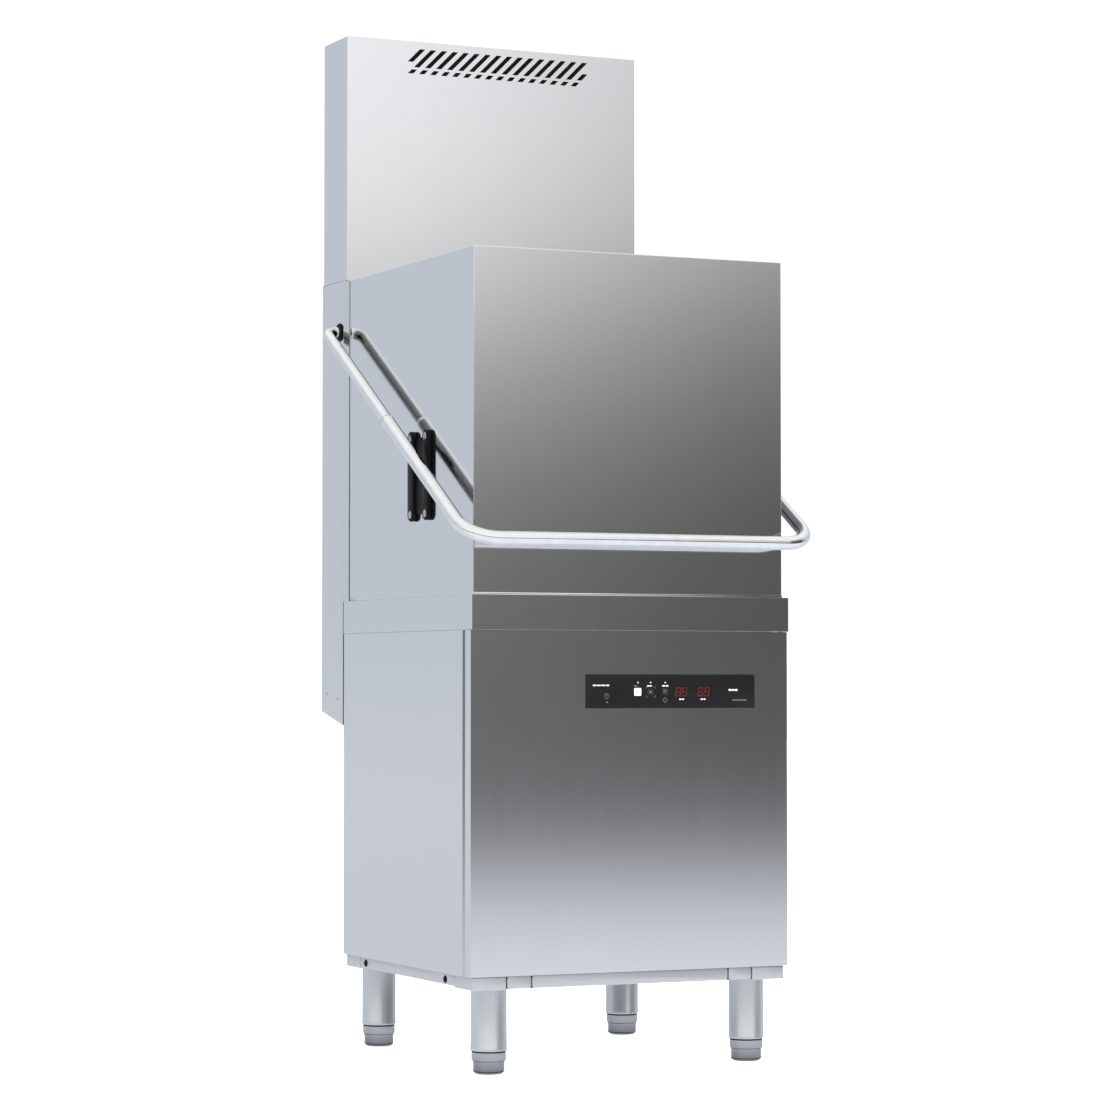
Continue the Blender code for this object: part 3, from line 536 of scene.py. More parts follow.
def rounded_rectangle(low, high, radius, steps=6):
    left, bottom = low[0] + radius, low[1] + radius
    right, top = high[0] - radius, high[1] - radius
    spots = []
    for turn, centre in enumerate(((right, top), (left, top), (left, bottom), (right, bottom))):
        spots += arc(centre, radius, 90 * turn, 90 * turn + 90, steps)
    return spots


def facing(low, high, inset=0.0):
    """Corners of a box as seen from the front, drawn in by an inset."""
    return (low.x + inset, low.z + inset), (high.x - inset, high.z - inset)


def face_plate(name, low, high, radius, y, thickness, edge=0.0, steps=6):
    """A flat piece with rounded corners on a face that looks along Y."""
    return prism(name, rounded_rectangle(low, high, radius, steps), y, thickness, "Y", edge)


def rounded_route(route, radius, steps=14):
    """A route in space whose right-angled corners are rounded."""
    route = [Vector(spot) for spot in route]
    spots = [route[0]]
    for before, corner, after in zip(route, route[1:], route[2:]):
        back = (before - corner).normalized()
        onward = (after - corner).normalized()
        centre = corner + radius * (back + onward)
        for step in range(steps + 1):
            angle = math.pi / 2 * step / steps
            spots.append(centre - radius * (math.cos(angle) * onward + math.sin(angle) * back))
    return spots + [route[-1]]


def screw_head(name, spot, axis, radius, body, mat=SCREW_STEEL, height=0.0016):
    """A low domed screw head with a socket recess."""
    profile = [(0, height * 0.35), (radius * 0.42, height * 0.35), (radius * 0.46, height * 0.95),
               (radius * 0.75, height * 0.85), (radius, height * 0.35), (radius, 0), (0, 0)]
    return keep(lathe(name, profile, spot, axis, 24), body, mat)


def rounding_group():
    """Geometry nodes that shade a mesh smooth except across its sharp edges."""
    group = bpy.data.node_groups.new("smooth_below_angle", "GeometryNodeTree")
    group.interface.new_socket("Geometry", in_out="INPUT", socket_type="NodeSocketGeometry")
    group.interface.new_socket("Geometry", in_out="OUTPUT", socket_type="NodeSocketGeometry")
    start = node(group, "NodeGroupInput")
    end = node(group, "NodeGroupOutput")
    faces = node(group, "GeometryNodeSetShadeSmooth")
    edges = node(group, "GeometryNodeSetShadeSmooth", domain="EDGE")
    angle = node(group, "GeometryNodeInputMeshEdgeAngle")
    sharp = node(group, "FunctionNodeCompare", operation="GREATER_THAN", B=math.radians(38))
    edges.inputs["Shade Smooth"].default_value = False
    join = group.links.new
    join(start.outputs[0], faces.inputs[0])
    join(faces.outputs[0], edges.inputs[0])
    join(angle.outputs["Unsigned Angle"], sharp.inputs["A"])
    join(sharp.outputs[0], edges.inputs["Selection"])
    join(edges.outputs[0], end.inputs[0])
    return group


ROUND_SHADING = rounding_group()


def refine(name, mat, edge):
    """A CAD node that stays: its material, and modifiers that weld and soften its edges."""
    piece = NODES[name]
    piece.data.materials.clear()
    piece.data.materials.append(mat)
    modify(piece, "seam", "WELD", merge_threshold=0.00002)
    if edge:
        modify(piece, "flats", "DECIMATE", decimate_type="DISSOLVE", angle_limit=math.radians(0.5))
        modify(piece, "edges", "BEVEL", width=edge, segments=3, limit_method="ANGLE",
               angle_limit=math.radians(40), use_clamp_overlap=True)
        # Dissolving leaves a concave rim as one many-sided face; triangles keep its opening open.
        modify(piece, "triangles", "TRIANGULATE")
    if edge is None:
        modify(piece, "shading", "NODES", node_group=ROUND_SHADING)


# ---------- carried-over CAD nodes
# Material, edge rounding (0 leaves edges sharp) and nodes. None is for turned and bent nodes, shaded smooth.
CARRIED_NODES = (
    (STEEL, 0.0004, "hood_shell condenser_housing"),
    (STEEL, 0.00018, "tank_rim front_panel"),
    (SIDE_STEEL, 0.0004, "side_panel_left side_panel_right column_cover"),
    (SIDE_STEEL, 0.0005, "rear_panel"),
    (FRAME_STEEL, 0.0008, "base_frame"),
    (INNER_STEEL, 0.0003, "tank_strainer"),
    (INNER_STEEL, 0.0004, "splash_back"),
    (INNER_STEEL, 0.0005, "lift_shaft"),
    (INNER_STEEL, 0.0006, "wash_tank rack_guide_left rack_guide_right hood_slider_left hood_slider_right"),
    (INNER_STEEL, None, "rinse_boiler riser_pipe"),
    (CHROME, 0.0008, "guide_rail_left guide_rail_right"),
    (BLACK, 0.0015, "control_box"),
    (BLACK, 0.0005, "condenser_fan"),
    (BLACK, None, "lower_spindle overflow_pipe drain_outlet cable_gland"),
    (CAST, 0.001, "wash_pump"),
    (CAST, None, "fan_motor water_inlet_valve"),
    (FINS, 0, "condenser_coil"),
    (SPRING, None, "tank_heater lift_spring_left lift_spring_right"),
)


def carried_nodes():
    for mat, edge, names in CARRIED_NODES:
        for name in names.split():
            refine(name, mat, edge)


# ---------- handle
BAR_RADIUS = 0.0125
ARM_RADIUS = 0.011
CORNER_RADIUS = 0.060


def handle():
    """Grip bar and arms as smooth polished tube, with a collar where the arms plug in."""
    low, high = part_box("handle_bar")
    arm_x = high.x - BAR_RADIUS
    bar = Vector((arm_x, low.y + BAR_RADIUS, low.z + BAR_RADIUS))
    run = Vector((0, PIVOT.y - bar.y, PIVOT.z - bar.z))
    slope = run.normalized()
    share = (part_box("handle_arm_right")[0].y - bar.y) / run.y + 0.012
    joint = Vector((0, bar.y, bar.z)) + run * share
    ends = [(side * arm_x, joint.y, joint.z) for side in (-1, 1)]
    route = [ends[0], (-arm_x, bar.y, bar.z), (arm_x, bar.y, bar.z), ends[1]]
    grip = tube("grip_bar", rounded_route(route, CORNER_RADIUS), BAR_RADIUS)
    keep(grip, "handle", ARM_CHROME_PAINTED_SHADE)
    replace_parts(grip, "handle_bar")
    collar = [(0.0118, 0.0035), (BAR_RADIUS, 0.0030), (BAR_RADIUS, -0.004),
              (ARM_RADIUS, -0.004), (ARM_RADIUS, 0.0035), (0.0118, 0.0035)]
    groove = ring_profile(BAR_RADIUS - 0.0001, BAR_RADIUS - 0.0012, 0.0032, 0.0044)
    for side, sign in SIDES:
        spot = (sign * arm_x, joint.y, joint.z)
        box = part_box("handle_arm_" + side)
        end_x = sign * min(abs(box[0].x), abs(box[1].x))
        route = [Vector(spot) - slope * 0.004, (sign * arm_x, PIVOT.y, PIVOT.z), (end_x, PIVOT.y, PIVOT.z)]
        arm = tube("arm_" + side, rounded_route(route, 0.022), ARM_RADIUS)
        keep(arm, "handle", ARM_CHROME_PAINTED_SHADE)
        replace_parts(arm, "handle_arm_" + side)
        keep(lathe("arm_collar_" + side, collar, spot, slope, 48), "handle", CHROME)
        keep(lathe("arm_joint_line_" + side, groove, spot, slope, 48), "handle", DARK_GAP)


def pivot_bushes():
    """A black flanged bush round each arm's end."""
    for side, sign in SIDES:
        low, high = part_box("pivot_bush_" + side)
        face = BODY_HIGH.x + 0.0003
        flange = (high.z - low.z) / 2
        profile = [(0.0117, 0.0040), (0.0150, 0.0040), (0.0165, 0.0030), (flange - 0.0015, 0.0026),
                   (flange, 0.0012), (flange, 0), (0.0151, 0), (0.0151, -0.008), (0.0117, -0.008),
                   (0.0117, 0.0040)]
        bush = lathe("bush_" + side, profile, (sign * face, PIVOT.y, PIVOT.z), (sign, 0, 0), 64)
        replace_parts(keep(bush, "root", BLACK), "pivot_bush_" + side)


# ---------- guide bars on the hood
def arm_guides():
    """Pairs of moulded guide bars with a rib between them and a screw at each end."""
    half = 0.0135
    for side, sign in SIDES:
        low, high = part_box("arm_guide_" + side)
        inner, outer = sorted((abs(low.x), abs(high.x)))
        base = slab("guide_base_" + side, (sign * inner, low.y + half, low.z + 0.013),
                    (sign * (inner + 0.003), high.y - half, high.z - 0.013), 0.0006)
        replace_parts(keep(base, "hood", BLACK), "arm_guide_" + side)
        start = inner if sign > 0 else -outer
        top, bottom = high.z - half, low.z + half
        for index, centre in enumerate((low.y + half, high.y - half)):
            outline = arc((centre, top), half, 0, 180, 16) + arc((centre, bottom), half, 180, 360, 16)
            bar = prism(f"guide_bar_{side}_{index}", outline, start, outer - inner, "X", 0.0022)
            keep(bar, "hood", BLACK)
            rib_low = (sign * (outer - 0.0012), centre - 0.0035, bottom + 0.014)
            rib_high = (sign * (outer - 0.0002), centre + 0.0035, top - 0.014)
            rib = slab(f"guide_rib_{side}_{index}", rib_low, rib_high, 0.0004)
            keep(rib, "hood", BLACK)
            for end, z in (("top", top + 0.001), ("bottom", bottom - 0.001)):
                spot = (sign * (outer - 0.0003), centre, z)
                screw_head(f"guide_screw_{side}_{index}_{end}", spot, (sign, 0, 0), 0.0070, "hood")


# ---------- hood trim
def hood_trim():
    """Folded hem along the hood's lower edge, on three sides."""
    tall, proud, fold = 0.0042, 0.0002, 0.0012
    low, high = HOOD_LOW, HOOD_HIGH
    z0, z1 = low.z + 0.0002, low.z + tall
    hem = slab("hood_hem_front", (low.x - proud, low.y - proud, z0), (high.x + proud, low.y + fold, z1),
               0.0003, 3)
    keep(hem, "hood", STEEL)
    for side, sign in SIDES:
        edge = high.x if sign > 0 else low.x
        ends = sorted((edge - sign * fold, edge + sign * proud))
        strip = slab("hood_hem_" + side, (ends[0], low.y + fold, z0), (ends[1], high.y - 0.001, z1),
                     0.0003, 3)
        keep(strip, "hood", STEEL)


def rim_shadow():
    """Painted shadow: a dark strip under the tank rim's front overhang."""
    strip = slab("rim_shadow_strip", (RIM_LOW.x + 0.0005, RIM_LOW.y + 0.0003, RIM_LOW.z - 0.0006),
                 (RIM_HIGH.x - 0.0005, BODY_LOW.y - 0.0002, RIM_LOW.z))
    keep(strip, "root", SEAM_AND_SHADOW_GREY)


# ---------- legs, feet and base details
def legs_and_feet():
    """Turned leg tubes with a rolled lower edge, and screw-out feet with a collar and a shoe."""
    for row, side in CORNERS:
        name = f"{row}_{side}"
        low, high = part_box("leg_" + name)
        centre = (middle(low.x, high.x), middle(low.y, high.y), 0)
        radius = (high.x - low.x) / 2
        wall = radius - 0.002
        profile = [(wall, high.z), (radius - 0.0004, high.z), (radius - 0.0004, low.z + 0.006),
                   (radius, low.z + 0.005), (radius, low.z + 0.0012), (radius - 0.001, low.z), (wall, low.z),
                   (wall, high.z)]
        tube_leg = keep(lathe("leg_tube_" + name, profile, centre, sides=96), "root", LEG_STEEL)
        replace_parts(tube_leg, "leg_" + name)
        collar, shoe = radius - 0.0020, radius - 0.0047
        profile = [(0, low.z + 0.030), (wall - 0.0012, low.z + 0.030), (wall - 0.0012, low.z - 0.0003),
                   (collar - 0.0012, low.z - 0.0003), (collar - 0.0012, low.z - 0.0022),
                   (collar, low.z - 0.0030), (collar, 0.0262), (collar - 0.0006, 0.0248),
                   (shoe + 0.0006, 0.0222), (shoe, 0.0200), (shoe, 0.0060), (shoe - 0.0008, 0.0034),
                   (shoe - 0.0028, 0.0012), (shoe - 0.0055, 0), (0, 0)]
        foot = keep(lathe("foot_turned_" + name, profile, centre, sides=96), "foot_" + name, FOOT_STEEL_PAINTED_SHADE)
        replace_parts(foot, "foot_" + name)
        # Dark rings painted as shade into the foot's recesses: where it meets the leg, at its step and near
        # its base.
        lines = (("top", collar - 0.0004, low.z - 0.0026, low.z - 0.0004),
                 ("step", shoe + 0.0012, 0.0224, 0.0240), ("base", shoe + 0.0001, 0.0040, 0.0052))
        for part, wide, z0, z1 in lines:
            line = lathe(f"foot_shade_line_{part}_{name}", ring_profile(wide, wide - 0.003, z0, z1), centre)
            keep(line, "foot_" + name, SHADOW_GAP)


def base_details():
    """A bracket over each leg, cover strips between them and their screws."""
    low, high = FRAME_LOW, FRAME_HIGH
    wide, proud, reach, front_reach = 0.014, 0.0035, 0.034, 0.065
    outer, inner = high.x + wide, high.x + wide - front_reach
    for row, side in CORNERS:
        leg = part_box(f"leg_{row}_{side}")
        sign = -1 if side == "left" else 1
        leg_y = middle(leg[0].y, leg[1].y)
        x_ends = sorted((sign * outer, sign * inner))
        y_ends = (low.y - proud, leg_y + reach) if row == "front" else (leg_y - reach, high.y + 0.004)
        bracket = slab(f"corner_bracket_{row}_{side}", (x_ends[0], y_ends[0], low.z - 0.0012),
                       (x_ends[1], y_ends[1], high.z + 0.0006), 0.0014, 3)
        keep(bracket, "root", FRAME_STEEL)
    cover_strips(low, high, proud, inner)
    side_strips(low, high, outer, reach)


def cover_strips(low, high, proud, inner):
    """Rounded strips along the front and rear: short ones beside the brackets, a long one between."""
    gap, short = 0.0022, 0.0465
    edge = inner - gap
    spans = ((-edge, -edge + short), (-edge + short + gap, edge - short - gap), (edge - short, edge))
    faces = (("front", low.y - proud + 0.0004, low.y - 0.0004), ("rear", high.y + 0.0004, high.y))
    for name, y, back in faces:
        dark = slab("base_shadow_" + name, (-inner - 0.004, back, low.z + 0.001),
                    (inner + 0.004, back + 0.0004, high.z - 0.001))
        keep(dark, "root", SHADOW_GAP)
        for index, (x0, x1) in enumerate(spans):
            strip = face_plate(f"base_strip_{name}_{index}", (x0, low.z + 0.0012), (x1, high.z + 0.0006),
                               0.004, y, proud - 0.0008, 0.0006)
            keep(strip, "root", FRAME_STEEL)


def side_strips(low, high, outer, reach):
    """A channel along each side between the brackets, with a dark bolt near each end."""
    front_leg, rear_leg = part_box("leg_front_left"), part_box("leg_rear_left")
    front = middle(front_leg[0].y, front_leg[1].y) + reach + 0.0022
    rear = middle(rear_leg[0].y, rear_leg[1].y) - reach - 0.0022
    for side, sign in SIDES:
        ends = sorted((sign * (high.x + 0.0002), sign * (high.x + 0.0008)))
        dark = slab("base_shadow_" + side, (ends[0], front - 0.006, low.z + 0.001),
                    (ends[1], rear + 0.006, high.z - 0.001))
        keep(dark, "root", SHADOW_GAP)
        outline = rounded_rectangle((front, low.z + 0.0012), (rear, high.z + 0.0006), 0.004)
        start = high.x + 0.0010 if sign > 0 else -outer + 0.0006
        strip = prism("base_strip_" + side, outline, start, outer - high.x - 0.0016, "X", 0.0008)
        keep(strip, "root", FRAME_STEEL)
        for index, y in enumerate((front + 0.038, rear - 0.027)):
            spot = (sign * (outer - 0.0008), y, middle(low.z, high.z))
            screw_head(f"base_screw_{side}_{index}", spot, (sign, 0, 0), 0.0068, "root", BLACK, 0.003)


# ---------- column and condenser details
def column_details():
    """Closing plate of the rear column, its lips beside the hood, top seams and small screws."""
    low, high = COLUMN_LOW, COLUMN_HIGH
    sheet, lift = 0.002, 0.004
    rise = 0.026 / (high.y - low.y)
    y0, y1 = low.y + 0.001, high.y - sheet - 0.0003
    z0 = low.z + lift
    z1 = z0 + rise * (y1 - y0)
    half = high.x - sheet - 0.0003
    outline = [(y0, z0), (y1, z1), (y1, z1 + sheet), (y0, z0 + sheet)]
    floor = prism("column_floor", outline, -half, 2 * half, "X")
    keep(floor, "root", SIDE_STEEL)
    for side, sign in SIDES:
        for index, (back, z) in enumerate(((0.028, low.z + 0.050), (0.085, low.z + 0.060))):
            spot = (sign * (high.x - 0.0004), low.y + back, z)
            screw_head(f"column_screw_{side}_{index}", spot, (sign, 0, 0), 0.0032, "root", height=0.0012)
        front, lap = low.y - 0.0138, HOOD_HIGH.x + 0.0006
        outline = [(sign * lap, front), (sign * (lap + 0.0005), front), (sign * high.x, low.y - 0.0003),
                   (sign * lap, low.y - 0.0003)]
        lip = prism("column_lip_" + side, outline, RIM_HIGH.z + 0.0004, high.z - RIM_HIGH.z - 0.0009, "Z")
        keep(lip, "root", SIDE_STEEL)
        ends = sorted((sign * (high.x - 0.0005), sign * (high.x + 0.0002)))
        seam = slab("column_seam_" + side, (ends[0], low.y + 0.0004, high.z - 0.0008),
                    (ends[1], high.y - 0.0004, high.z + 0.0002))
        keep(seam, "root", SEAM_AND_SHADOW_GREY)


def vent_shade_sheet():
    """Pleated dark sheet close behind the outlet slots: painted shade that makes the openings look black."""
    y = CONDENSER_LOW.y + 0.0050
    left, right, pitch, rise = -0.190, 0.212, 0.006, 0.0022
    z0, z1 = CONDENSER_HIGH.z - 0.072, CONDENSER_HIGH.z - 0.007
    outline, x, fold = [], left, 0
    while x <= right:
        outline.append((x, y + rise * (fold % 2)))
        x, fold = x + pitch / 2, fold + 1
    back = [(u, v + 0.0012) for u, v in reversed(outline)]
    keep(prism("vent_shade_sheet", outline + back, z0, z1 - z0, "Z"), "root", VENT_SHADE)


def rear_plate(name, low, high, y):
    """A screwed-on cover plate on a rear face, over a dark seam line."""
    (x0, z0), (x1, z1) = low, high
    lap = thick = 0.0012
    seam = face_plate(name + "_seam", (x0 - lap, z0 - lap), (x1 + lap, z1 + lap), 0.005, y, 0.0004)
    keep(seam, "root", DARK_GAP)
    keep(face_plate(name, low, high, 0.004, y + 0.0002, thick, 0.0004), "root", SIDE_STEEL)
    rows = max(2, round((z1 - z0) / 0.18) + 1)
    for side, x in (("l", x0 + 0.010), ("r", x1 - 0.010)):
        for row in range(rows):
            z = z0 + 0.012 + (z1 - z0 - 0.024) * row / (rows - 1)
            screw_head(f"{name}_screw_{side}_{row}", (x, y + thick, z), (0, 1, 0), 0.0036, "root")


def louvre(name, centre, z, y):
    """A pressed louvre: a half-round hood over a dark slot, a sheet painted as the shade under it."""
    long, tall = 0.105, 0.0075
    x0, x1 = centre - long / 2, centre + long / 2
    opening = face_plate(name + "_slot", (x0 + 0.002, z - 0.0022), (x1 - 0.002, z), 0.001, y, 0.0006)
    keep(opening, "root", SHADOW_GAP)
    profile = [(y, z)]
    for turn in range(20, 181, 20):
        angle = math.radians(turn)
        profile.append((y + 0.0042 * math.sin(angle), z + tall * (1 - math.cos(angle)) / 2))
    keep(prism(name, profile, x0, long, "X", 0.0006), "root", SIDE_STEEL)


def rear_details():
    """Covers, louvres, a blank rating plate and connection collars on the rear faces."""
    y = COLUMN_HIGH.y
    rear_plate("rear_cover", (-0.262, COLUMN_LOW.z + 0.075), (0.262, COLUMN_HIGH.z - 0.035), y)
    face = y + 0.0013
    for column, centre in enumerate((-0.135, 0.0, 0.135)):
        for row in range(7):
            louvre(f"louvre_{column}_{row}", centre, COLUMN_LOW.z + 0.130 + 0.022 * row, face)
    rating = face_plate("rating_plate", (0.085, 1.235), (0.205, 1.305), 0.003, face, 0.0008, 0.0002)
    keep(rating, "root", RATING)
    for index in range(5):
        z0 = 1.292 - 0.0115 * index
        z1 = z0 + 0.0006
        outline = [(0.093, z0), (0.197, z0), (0.197, z1), (0.093, z1)]
        line = prism(f"rating_line_{index}", outline, face + 0.0008, 0.0001, "Y")
        keep(line, "root", PRINT_GREY)
    low_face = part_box("rear_panel")[1].y
    rear_plate("service_cover", (-0.255, 0.430), (0.255, 0.585), low_face)
    for name in ("water_inlet_valve", "drain_outlet", "cable_gland"):
        low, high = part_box(name)
        centre = (middle(low.x, high.x), low_face, middle(low.z, high.z))
        hole = (high.x - low.x) / 2 + 0.0006
        profile = [(hole, 0.0016), (hole + 0.0060, 0.0016), (hole + 0.0075, 0.0004), (hole + 0.0075, 0),
                   (hole, 0), (hole, 0.0016)]
        keep(lathe(name + "_collar", profile, centre, (0, 1, 0), 48), "root", SHADOW_GAP)


# ---------- control panel
KEY_NAMES = ("power_key", "start_key", "cycle_key", "select_key", "drain_key")
FILM_PROUD = 0.00025
START_KEY_INSET = 0.0007


def carve(piece, *tools):
    """Cut tools out of a piece for good."""
    for tool in tools:
        modify(piece, "carve", "BOOLEAN", operation="DIFFERENCE", solver="EXACT", object=tool)
    done = finished_mesh(piece)
    piece.modifiers.clear()
    piece.data = done
    done.shade_smooth()
    done.set_sharp_from_angle(angle=math.radians(35))
    for tool in tools:
        bpy.data.objects.remove(tool, do_unlink=True)
    return piece


def key_outline(name, grow=0.0):
    """Outline of a key in the panel's plane, from the key's CAD box."""
    low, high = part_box(name)
    x, z = middle(low.x, high.x), middle(low.z, high.z)
    half = (high.x - low.x) / 2 + grow - (START_KEY_INSET if name == "start_key" else 0)
    if name == "power_key":
        return arc((x, z), half, 0, 350, 35)
    if name == "drain_key":
        return [(x + half, z), (x, z + half), (x - half, z), (x, z - half)]
    return rounded_rectangle((x - half, z - half), (x + half, z + half), 0.0018 + grow)


def stroke(name, points, width, y, body, mat, thickness=0.0003):
    """A printed line: a thin flat ribbon along points in the panel's plane."""
    for index, (start, end) in enumerate(zip(points, points[1:])):
        a, b = Vector(start), Vector(end)
        side = (b - a).normalized().orthogonal() * width / 2
        run = (b - a).normalized() * width * 0.4
        outline = [tuple(a - run + side), tuple(b + run + side), tuple(b + run - side), tuple(a - run - side)]
        keep(prism(f"{name}_{index}", outline, y, thickness, "Y"), body, mat)


def control_panel():
    """Panel body with openings for its keys and its display window, and a darker line round its edge."""
    low, high = PANEL_LOW, PANEL_HIGH
    face = low.y
    body = face_plate("panel_body", *facing(low, high), 0.004, face, high.y - face, 0.0006)
    tools = []
    for name in KEY_NAMES:
        tools.append(prism(name + "_hole", key_outline(name, 0.0004), face - 0.005, 0.02, "Y"))
    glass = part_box("display_window")
    tools.append(slab("window_hole", (glass[0].x - 0.0003, face - 0.005, glass[0].z - 0.0003),
                      (glass[1].x + 0.0003, glass[1].y + 0.0003, glass[1].z + 0.0003)))
    panel = keep(carve(body, *tools), "root", PANEL_FILM)
    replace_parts(panel, "control_panel")
    ring = face_plate("panel_edge_line", *facing(low, high, 0.0003), 0.004, face - FILM_PROUD / 2, 0.0004)
    hole = face_plate("edge_hole", *facing(low, high, 0.0024), 0.003, face - 0.004, 0.01)
    keep(carve(ring, hole), "root", PANEL_EDGE)
    for name in KEY_NAMES:
        key_low, key_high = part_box(name)
        mat, slot = (WHITE_KEY, "white_key") if name == "start_key" else (GREY_KEY, "grey_key")
        cap = prism(name + "_cap", key_outline(name), key_low.y, key_high.y - key_low.y, "Y", 0.0007)
        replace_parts(keep(cap, name, mat), name)
    key_marks()
    window = face_plate("display_glass", *facing(*glass), 0.0012, glass[0].y, glass[1].y - glass[0].y, 0.0003)
    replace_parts(keep(window, "root", PANEL_FILM), "display_window")
    numbers(glass)
    panel_print()


def key_symbol(name, half):
    """Lines printed on a key, as (name, width, points measured from the key's centre)."""
    if name == "power_key":
        turns = [math.radians(turn) for turn in range(40, 321, 20)]
        ring = [(0.0034 * math.sin(turn), 0.0034 * math.cos(turn)) for turn in turns]
        return [("power_mark", 0.0009, ring), ("power_tick", 0.0009, [(0, 0.0010), (0, 0.0044)])]
    if name == "start_key":
        triangle = [(-0.0016, -0.0024), (0.0022, 0), (-0.0016, 0.0024), (-0.0016, -0.0024)]
        return [("start_mark", 0.0006, triangle)]
    if name == "cycle_key":
        roof = [(-half * 0.45, -half * 0.2), (0, half * 0.35), (half * 0.45, -half * 0.2)]
        return [("cycle_mark", 0.0009, roof)]
    if name == "select_key":
        return [("select_mark", 0.0010, [(-half * 0.55, 0.0012), (half * 0.55, 0.0012)]),
                ("select_mark_low", 0.0007, [(-half * 0.55, -0.0018), (half * 0.55, -0.0018)])]
    reach = half - 0.0012
    return [("drain_mark", 0.0006, [(reach, 0), (0, reach), (-reach, 0), (0, -reach), (reach, 0)])]


def key_marks():
    """Printed symbols on the keys, riding with them."""
    for name in KEY_NAMES:
        low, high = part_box(name)
        x, z, y = middle(low.x, high.x), middle(low.z, high.z), low.y - 0.00005
        half = (high.x - low.x) / 2
        mat = GREY_KEY if name == "start_key" else PRINT_GREY
        for title, width, points in key_symbol(name, half):
            stroke(title, [(x + u, z + v) for u, v in points], width, y, name, mat)
        if name == "cycle_key":
            dot = prism("cycle_dot", arc((x, z - half * 0.1), 0.0014, 0, 350, 16), y, 0.0003, "Y")
            keep(dot, name, PRINT_GREY)


# The ends of each segment on a digit one unit wide and high, and the segments that each digit lights.
SEGMENT_ENDS = {
    "a": ((0, 1), (1, 1)), "b": ((1, 1), (1, 0.5)), "c": ((1, 0.5), (1, 0)), "d": ((0, 0), (1, 0)),
    "e": ((0, 0.5), (0, 0)), "f": ((0, 1), (0, 0.5)), "g": ((0, 0.5), (1, 0.5)),
}
LIT_SEGMENTS = {"8": "abcdefg", "5": "afgcd", "6": "afgedc", "9": "abcdfg"}
READING = ("85", "69")


def segment_outline(start, end, thick):
    """A display segment with pointed ends."""
    run = (end - start).normalized()
    a, b = start + run * thick * 0.55, end - run * thick * 0.55
    side, tip = run.orthogonal() * thick / 2, run * thick * 0.5
    return [tuple(spot) for spot in (a - tip, a + side, b + side, b + tip, b - side, a - side)]


def numbers(glass):
    """Two two-digit seven-segment numbers on the display window."""
    face = glass[0].y - 0.0001
    tall, wide, lean, thick, pitch = 0.0146, 0.0088, 0.14, 0.0015, 0.0128
    bottom = middle(glass[0].z, glass[1].z) - tall / 2
    centres = (glass[0].x + 0.0152, glass[1].x - 0.0152)
    for screen, (centre, text) in enumerate(zip(centres, READING)):
        for place, digit in enumerate(text):
            x0 = centre + (place - 0.5) * pitch - wide / 2
            for letter, ends in SEGMENT_ENDS.items():
                start, end = (Vector((x0 + u * wide + lean * (v - 0.5) * tall, bottom + v * tall))
                              for u, v in ends)
                outline = segment_outline(start, end, thick)
                piece = prism(f"digit_{screen}_{place}_{letter}", outline, face, 0.0003, "Y")
                lit = letter in LIT_SEGMENTS[digit]
                keep(piece, "root", SEGMENT_ON if lit else SEGMENT_OFF_PAINTED_GLOW)


def panel_print():
    """Generic printed marks: small symbols above the keys and bars where captions would be."""
    y = PANEL_LOW.y - FILM_PROUD
    left, top = PANEL_LOW.x, PANEL_HIGH.z

    def spot(along, drop):
        return left + along, top - drop

    def bar(name, along, drop, wide, tall, mat):
        x, z = spot(along, drop)
        low, high = (x - wide / 2, z - tall / 2), (x + wide / 2, z + tall / 2)
        keep(face_plate(name, low, high, tall * 0.35, y, 0.0004, steps=3), "root", mat)

    def dashes(name, along, drop, wide, tall, mat, count):
        pitch = wide / count
        for index in range(count):
            centre = along - wide / 2 + pitch * (index + 0.5)
            bar(f"{name}_{index}", centre, drop, pitch * (0.80 if index % 2 else 0.88), tall, mat)

    dashes("caption_left", 0.030, 0.0195, 0.034, 0.0024, PRINT_WHITE, 4)
    bar("power_caption", 0.0416, 0.0500, 0.0044, 0.0018, PRINT_GREY)
    for index, along in enumerate((0.1038, 0.1295, 0.1590)):
        lamp = prism(f"key_lamp_{index}", arc(spot(along, 0.0145), 0.0013, 0, 350, 20), y, 0.0004, "Y")
        keep(lamp, "root", PRINT_WHITE)
    for index, (along, wide) in enumerate(((0.1270, 0.010), (0.1590, 0.014))):
        dashes(f"key_caption_{index}", along, 0.0205, wide, 0.0024, PRINT_WHITE, 2)
    bar("start_caption", 0.0990, 0.0205, 0.006, 0.0020, PRINT_GREY)
    for index, along in enumerate((0.1922, 0.2360)):
        dashes(f"display_caption_{index}", along, 0.0447, 0.011, 0.0022, PRINT_WHITE, 2)
    dashes("caption_right", 0.2975, 0.0280, 0.019, 0.0034, PRINT_WHITE, 3)
    dashes("caption_right_small", 0.3105, 0.0465, 0.030, 0.0020, PRINT_GREY, 5)
    half, corner = 0.0092, 0.0030
    x, z = spot(0.1295, 0.0316)
    for turn, (sx, sz) in enumerate(((-1, 1), (1, 1), (1, -1), (-1, -1))):
        points = [(x + sx * half, z + sz * (half - corner)), (x + sx * half, z + sz * half),
                  (x + sx * (half - corner), z + sz * half)]
        stroke(f"key_frame_1_{turn}", points, 0.0006, y, "root", PRINT_GREY)


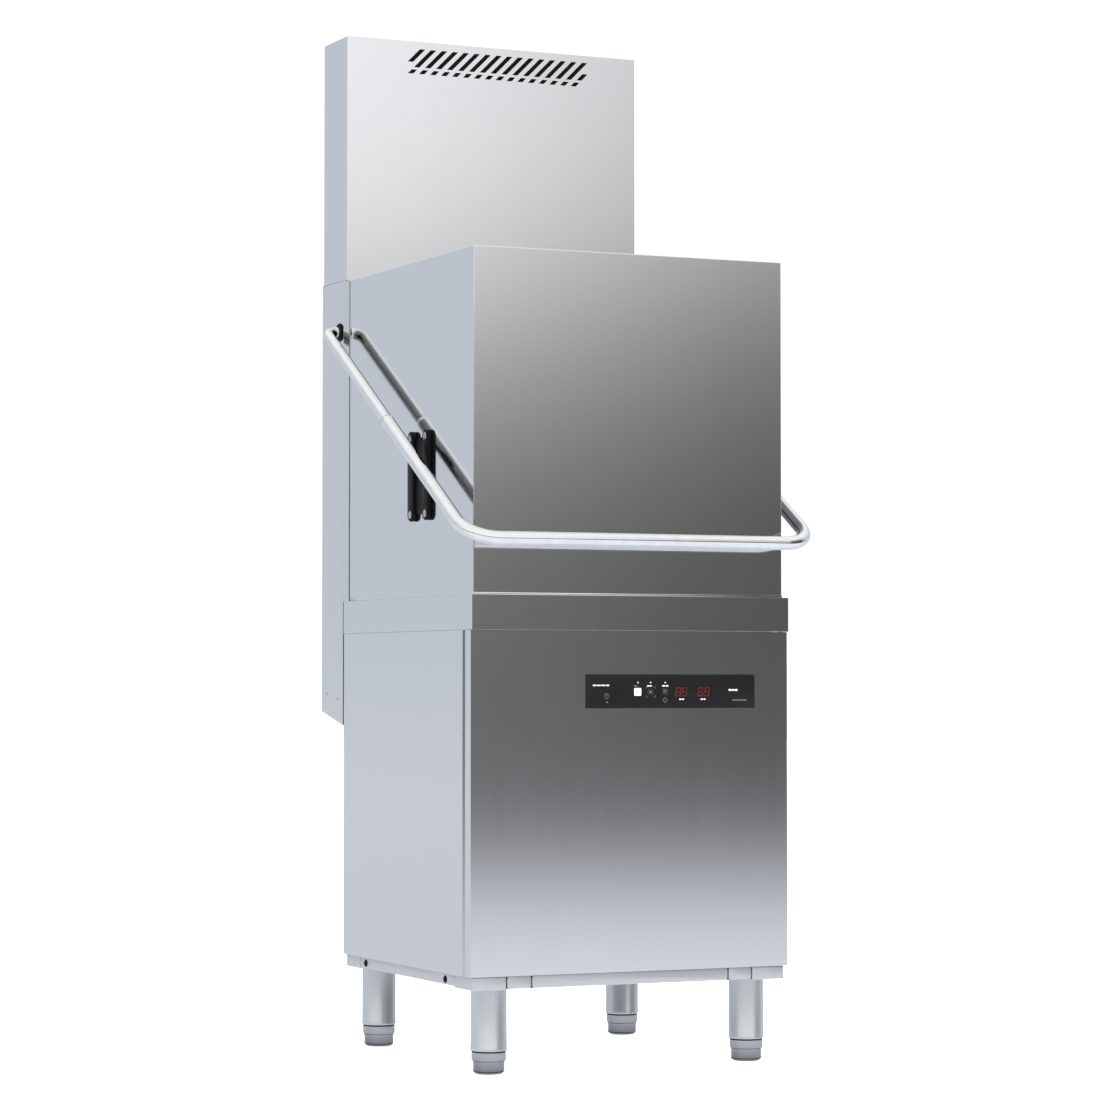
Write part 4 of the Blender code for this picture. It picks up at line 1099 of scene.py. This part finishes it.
# ---------- spray arms
# Body, half the blade's width, nozzles to a side, and which way they point.
SPRAY_ARMS = (("lower_wash", 0.0225, 5, 1), ("lower_rinse", 0.010, 4, 1),
              ("upper_wash", 0.0225, 5, -1), ("upper_rinse", 0.010, 4, -1))
NOZZLE = [(0, 0.0006), (0.0012, 0.0006), (0.0016, 0.0016), (0.0042, 0.0012), (0.0052, 0), (0.0052, -0.001),
          (0, -0.001)]
HUB_RADIUS = 0.026
BORE_RADIUS = 0.0144


def spray_arms():
    """Pressed spray arms with rounded tips, a chamfered hub and nozzles on both sides of it."""
    y = WASH_AXIS.y
    for body, half, count, up in SPRAY_ARMS:
        name = body + "_arm"
        low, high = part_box(name)
        reach = high.x
        z0, z1 = low.z + 0.002, high.z - 0.002
        outline = arc((reach - half, y), half, -90, 90, 14) + arc((-reach + half, y), half, 90, 270, 14)
        arm = prism(name + "_blade", outline, z0, z1 - z0, "Z", (z1 - z0) * 0.32)
        top, bottom = high.z + 0.02, low.z - 0.02
        plug = [(0, top), (BORE_RADIUS, top), (BORE_RADIUS, bottom), (0, bottom)]
        bore = lathe(name + "_bore", plug, (0, y, 0), sides=40)
        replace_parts(keep(carve(arm, bore), body, INNER_STEEL), name)
        hub = [(BORE_RADIUS, high.z), (HUB_RADIUS - 0.003, high.z), (HUB_RADIUS, high.z - 0.003),
               (HUB_RADIUS, low.z + 0.003), (HUB_RADIUS - 0.003, low.z), (BORE_RADIUS, low.z),
               (BORE_RADIUS, high.z)]
        keep(lathe(name + "_hub", hub, (0, y, 0), sides=48), body, BLACK)
        face = z1 if up > 0 else z0
        for index in range(count):
            for side, sign, shift in (("l", -1, 0), ("r", 1, 0.5)):
                x = sign * (0.048 + (reach - 0.075) * (index + shift) / count)
                nozzle = lathe(f"{name}_nozzle_{index}_{side}", NOZZLE, (x, y, face), (0, 0, up), 24)
                keep(nozzle, body, FOOT_STEEL_PAINTED_SHADE)


# ---------- assembly
carried_nodes()
handle()
pivot_bushes()
arm_guides()
hood_trim()
rim_shadow()
legs_and_feet()
base_details()
column_details()
rear_details()
vent_shade_sheet()
control_panel()
spray_arms()
world()
studio()
camera()
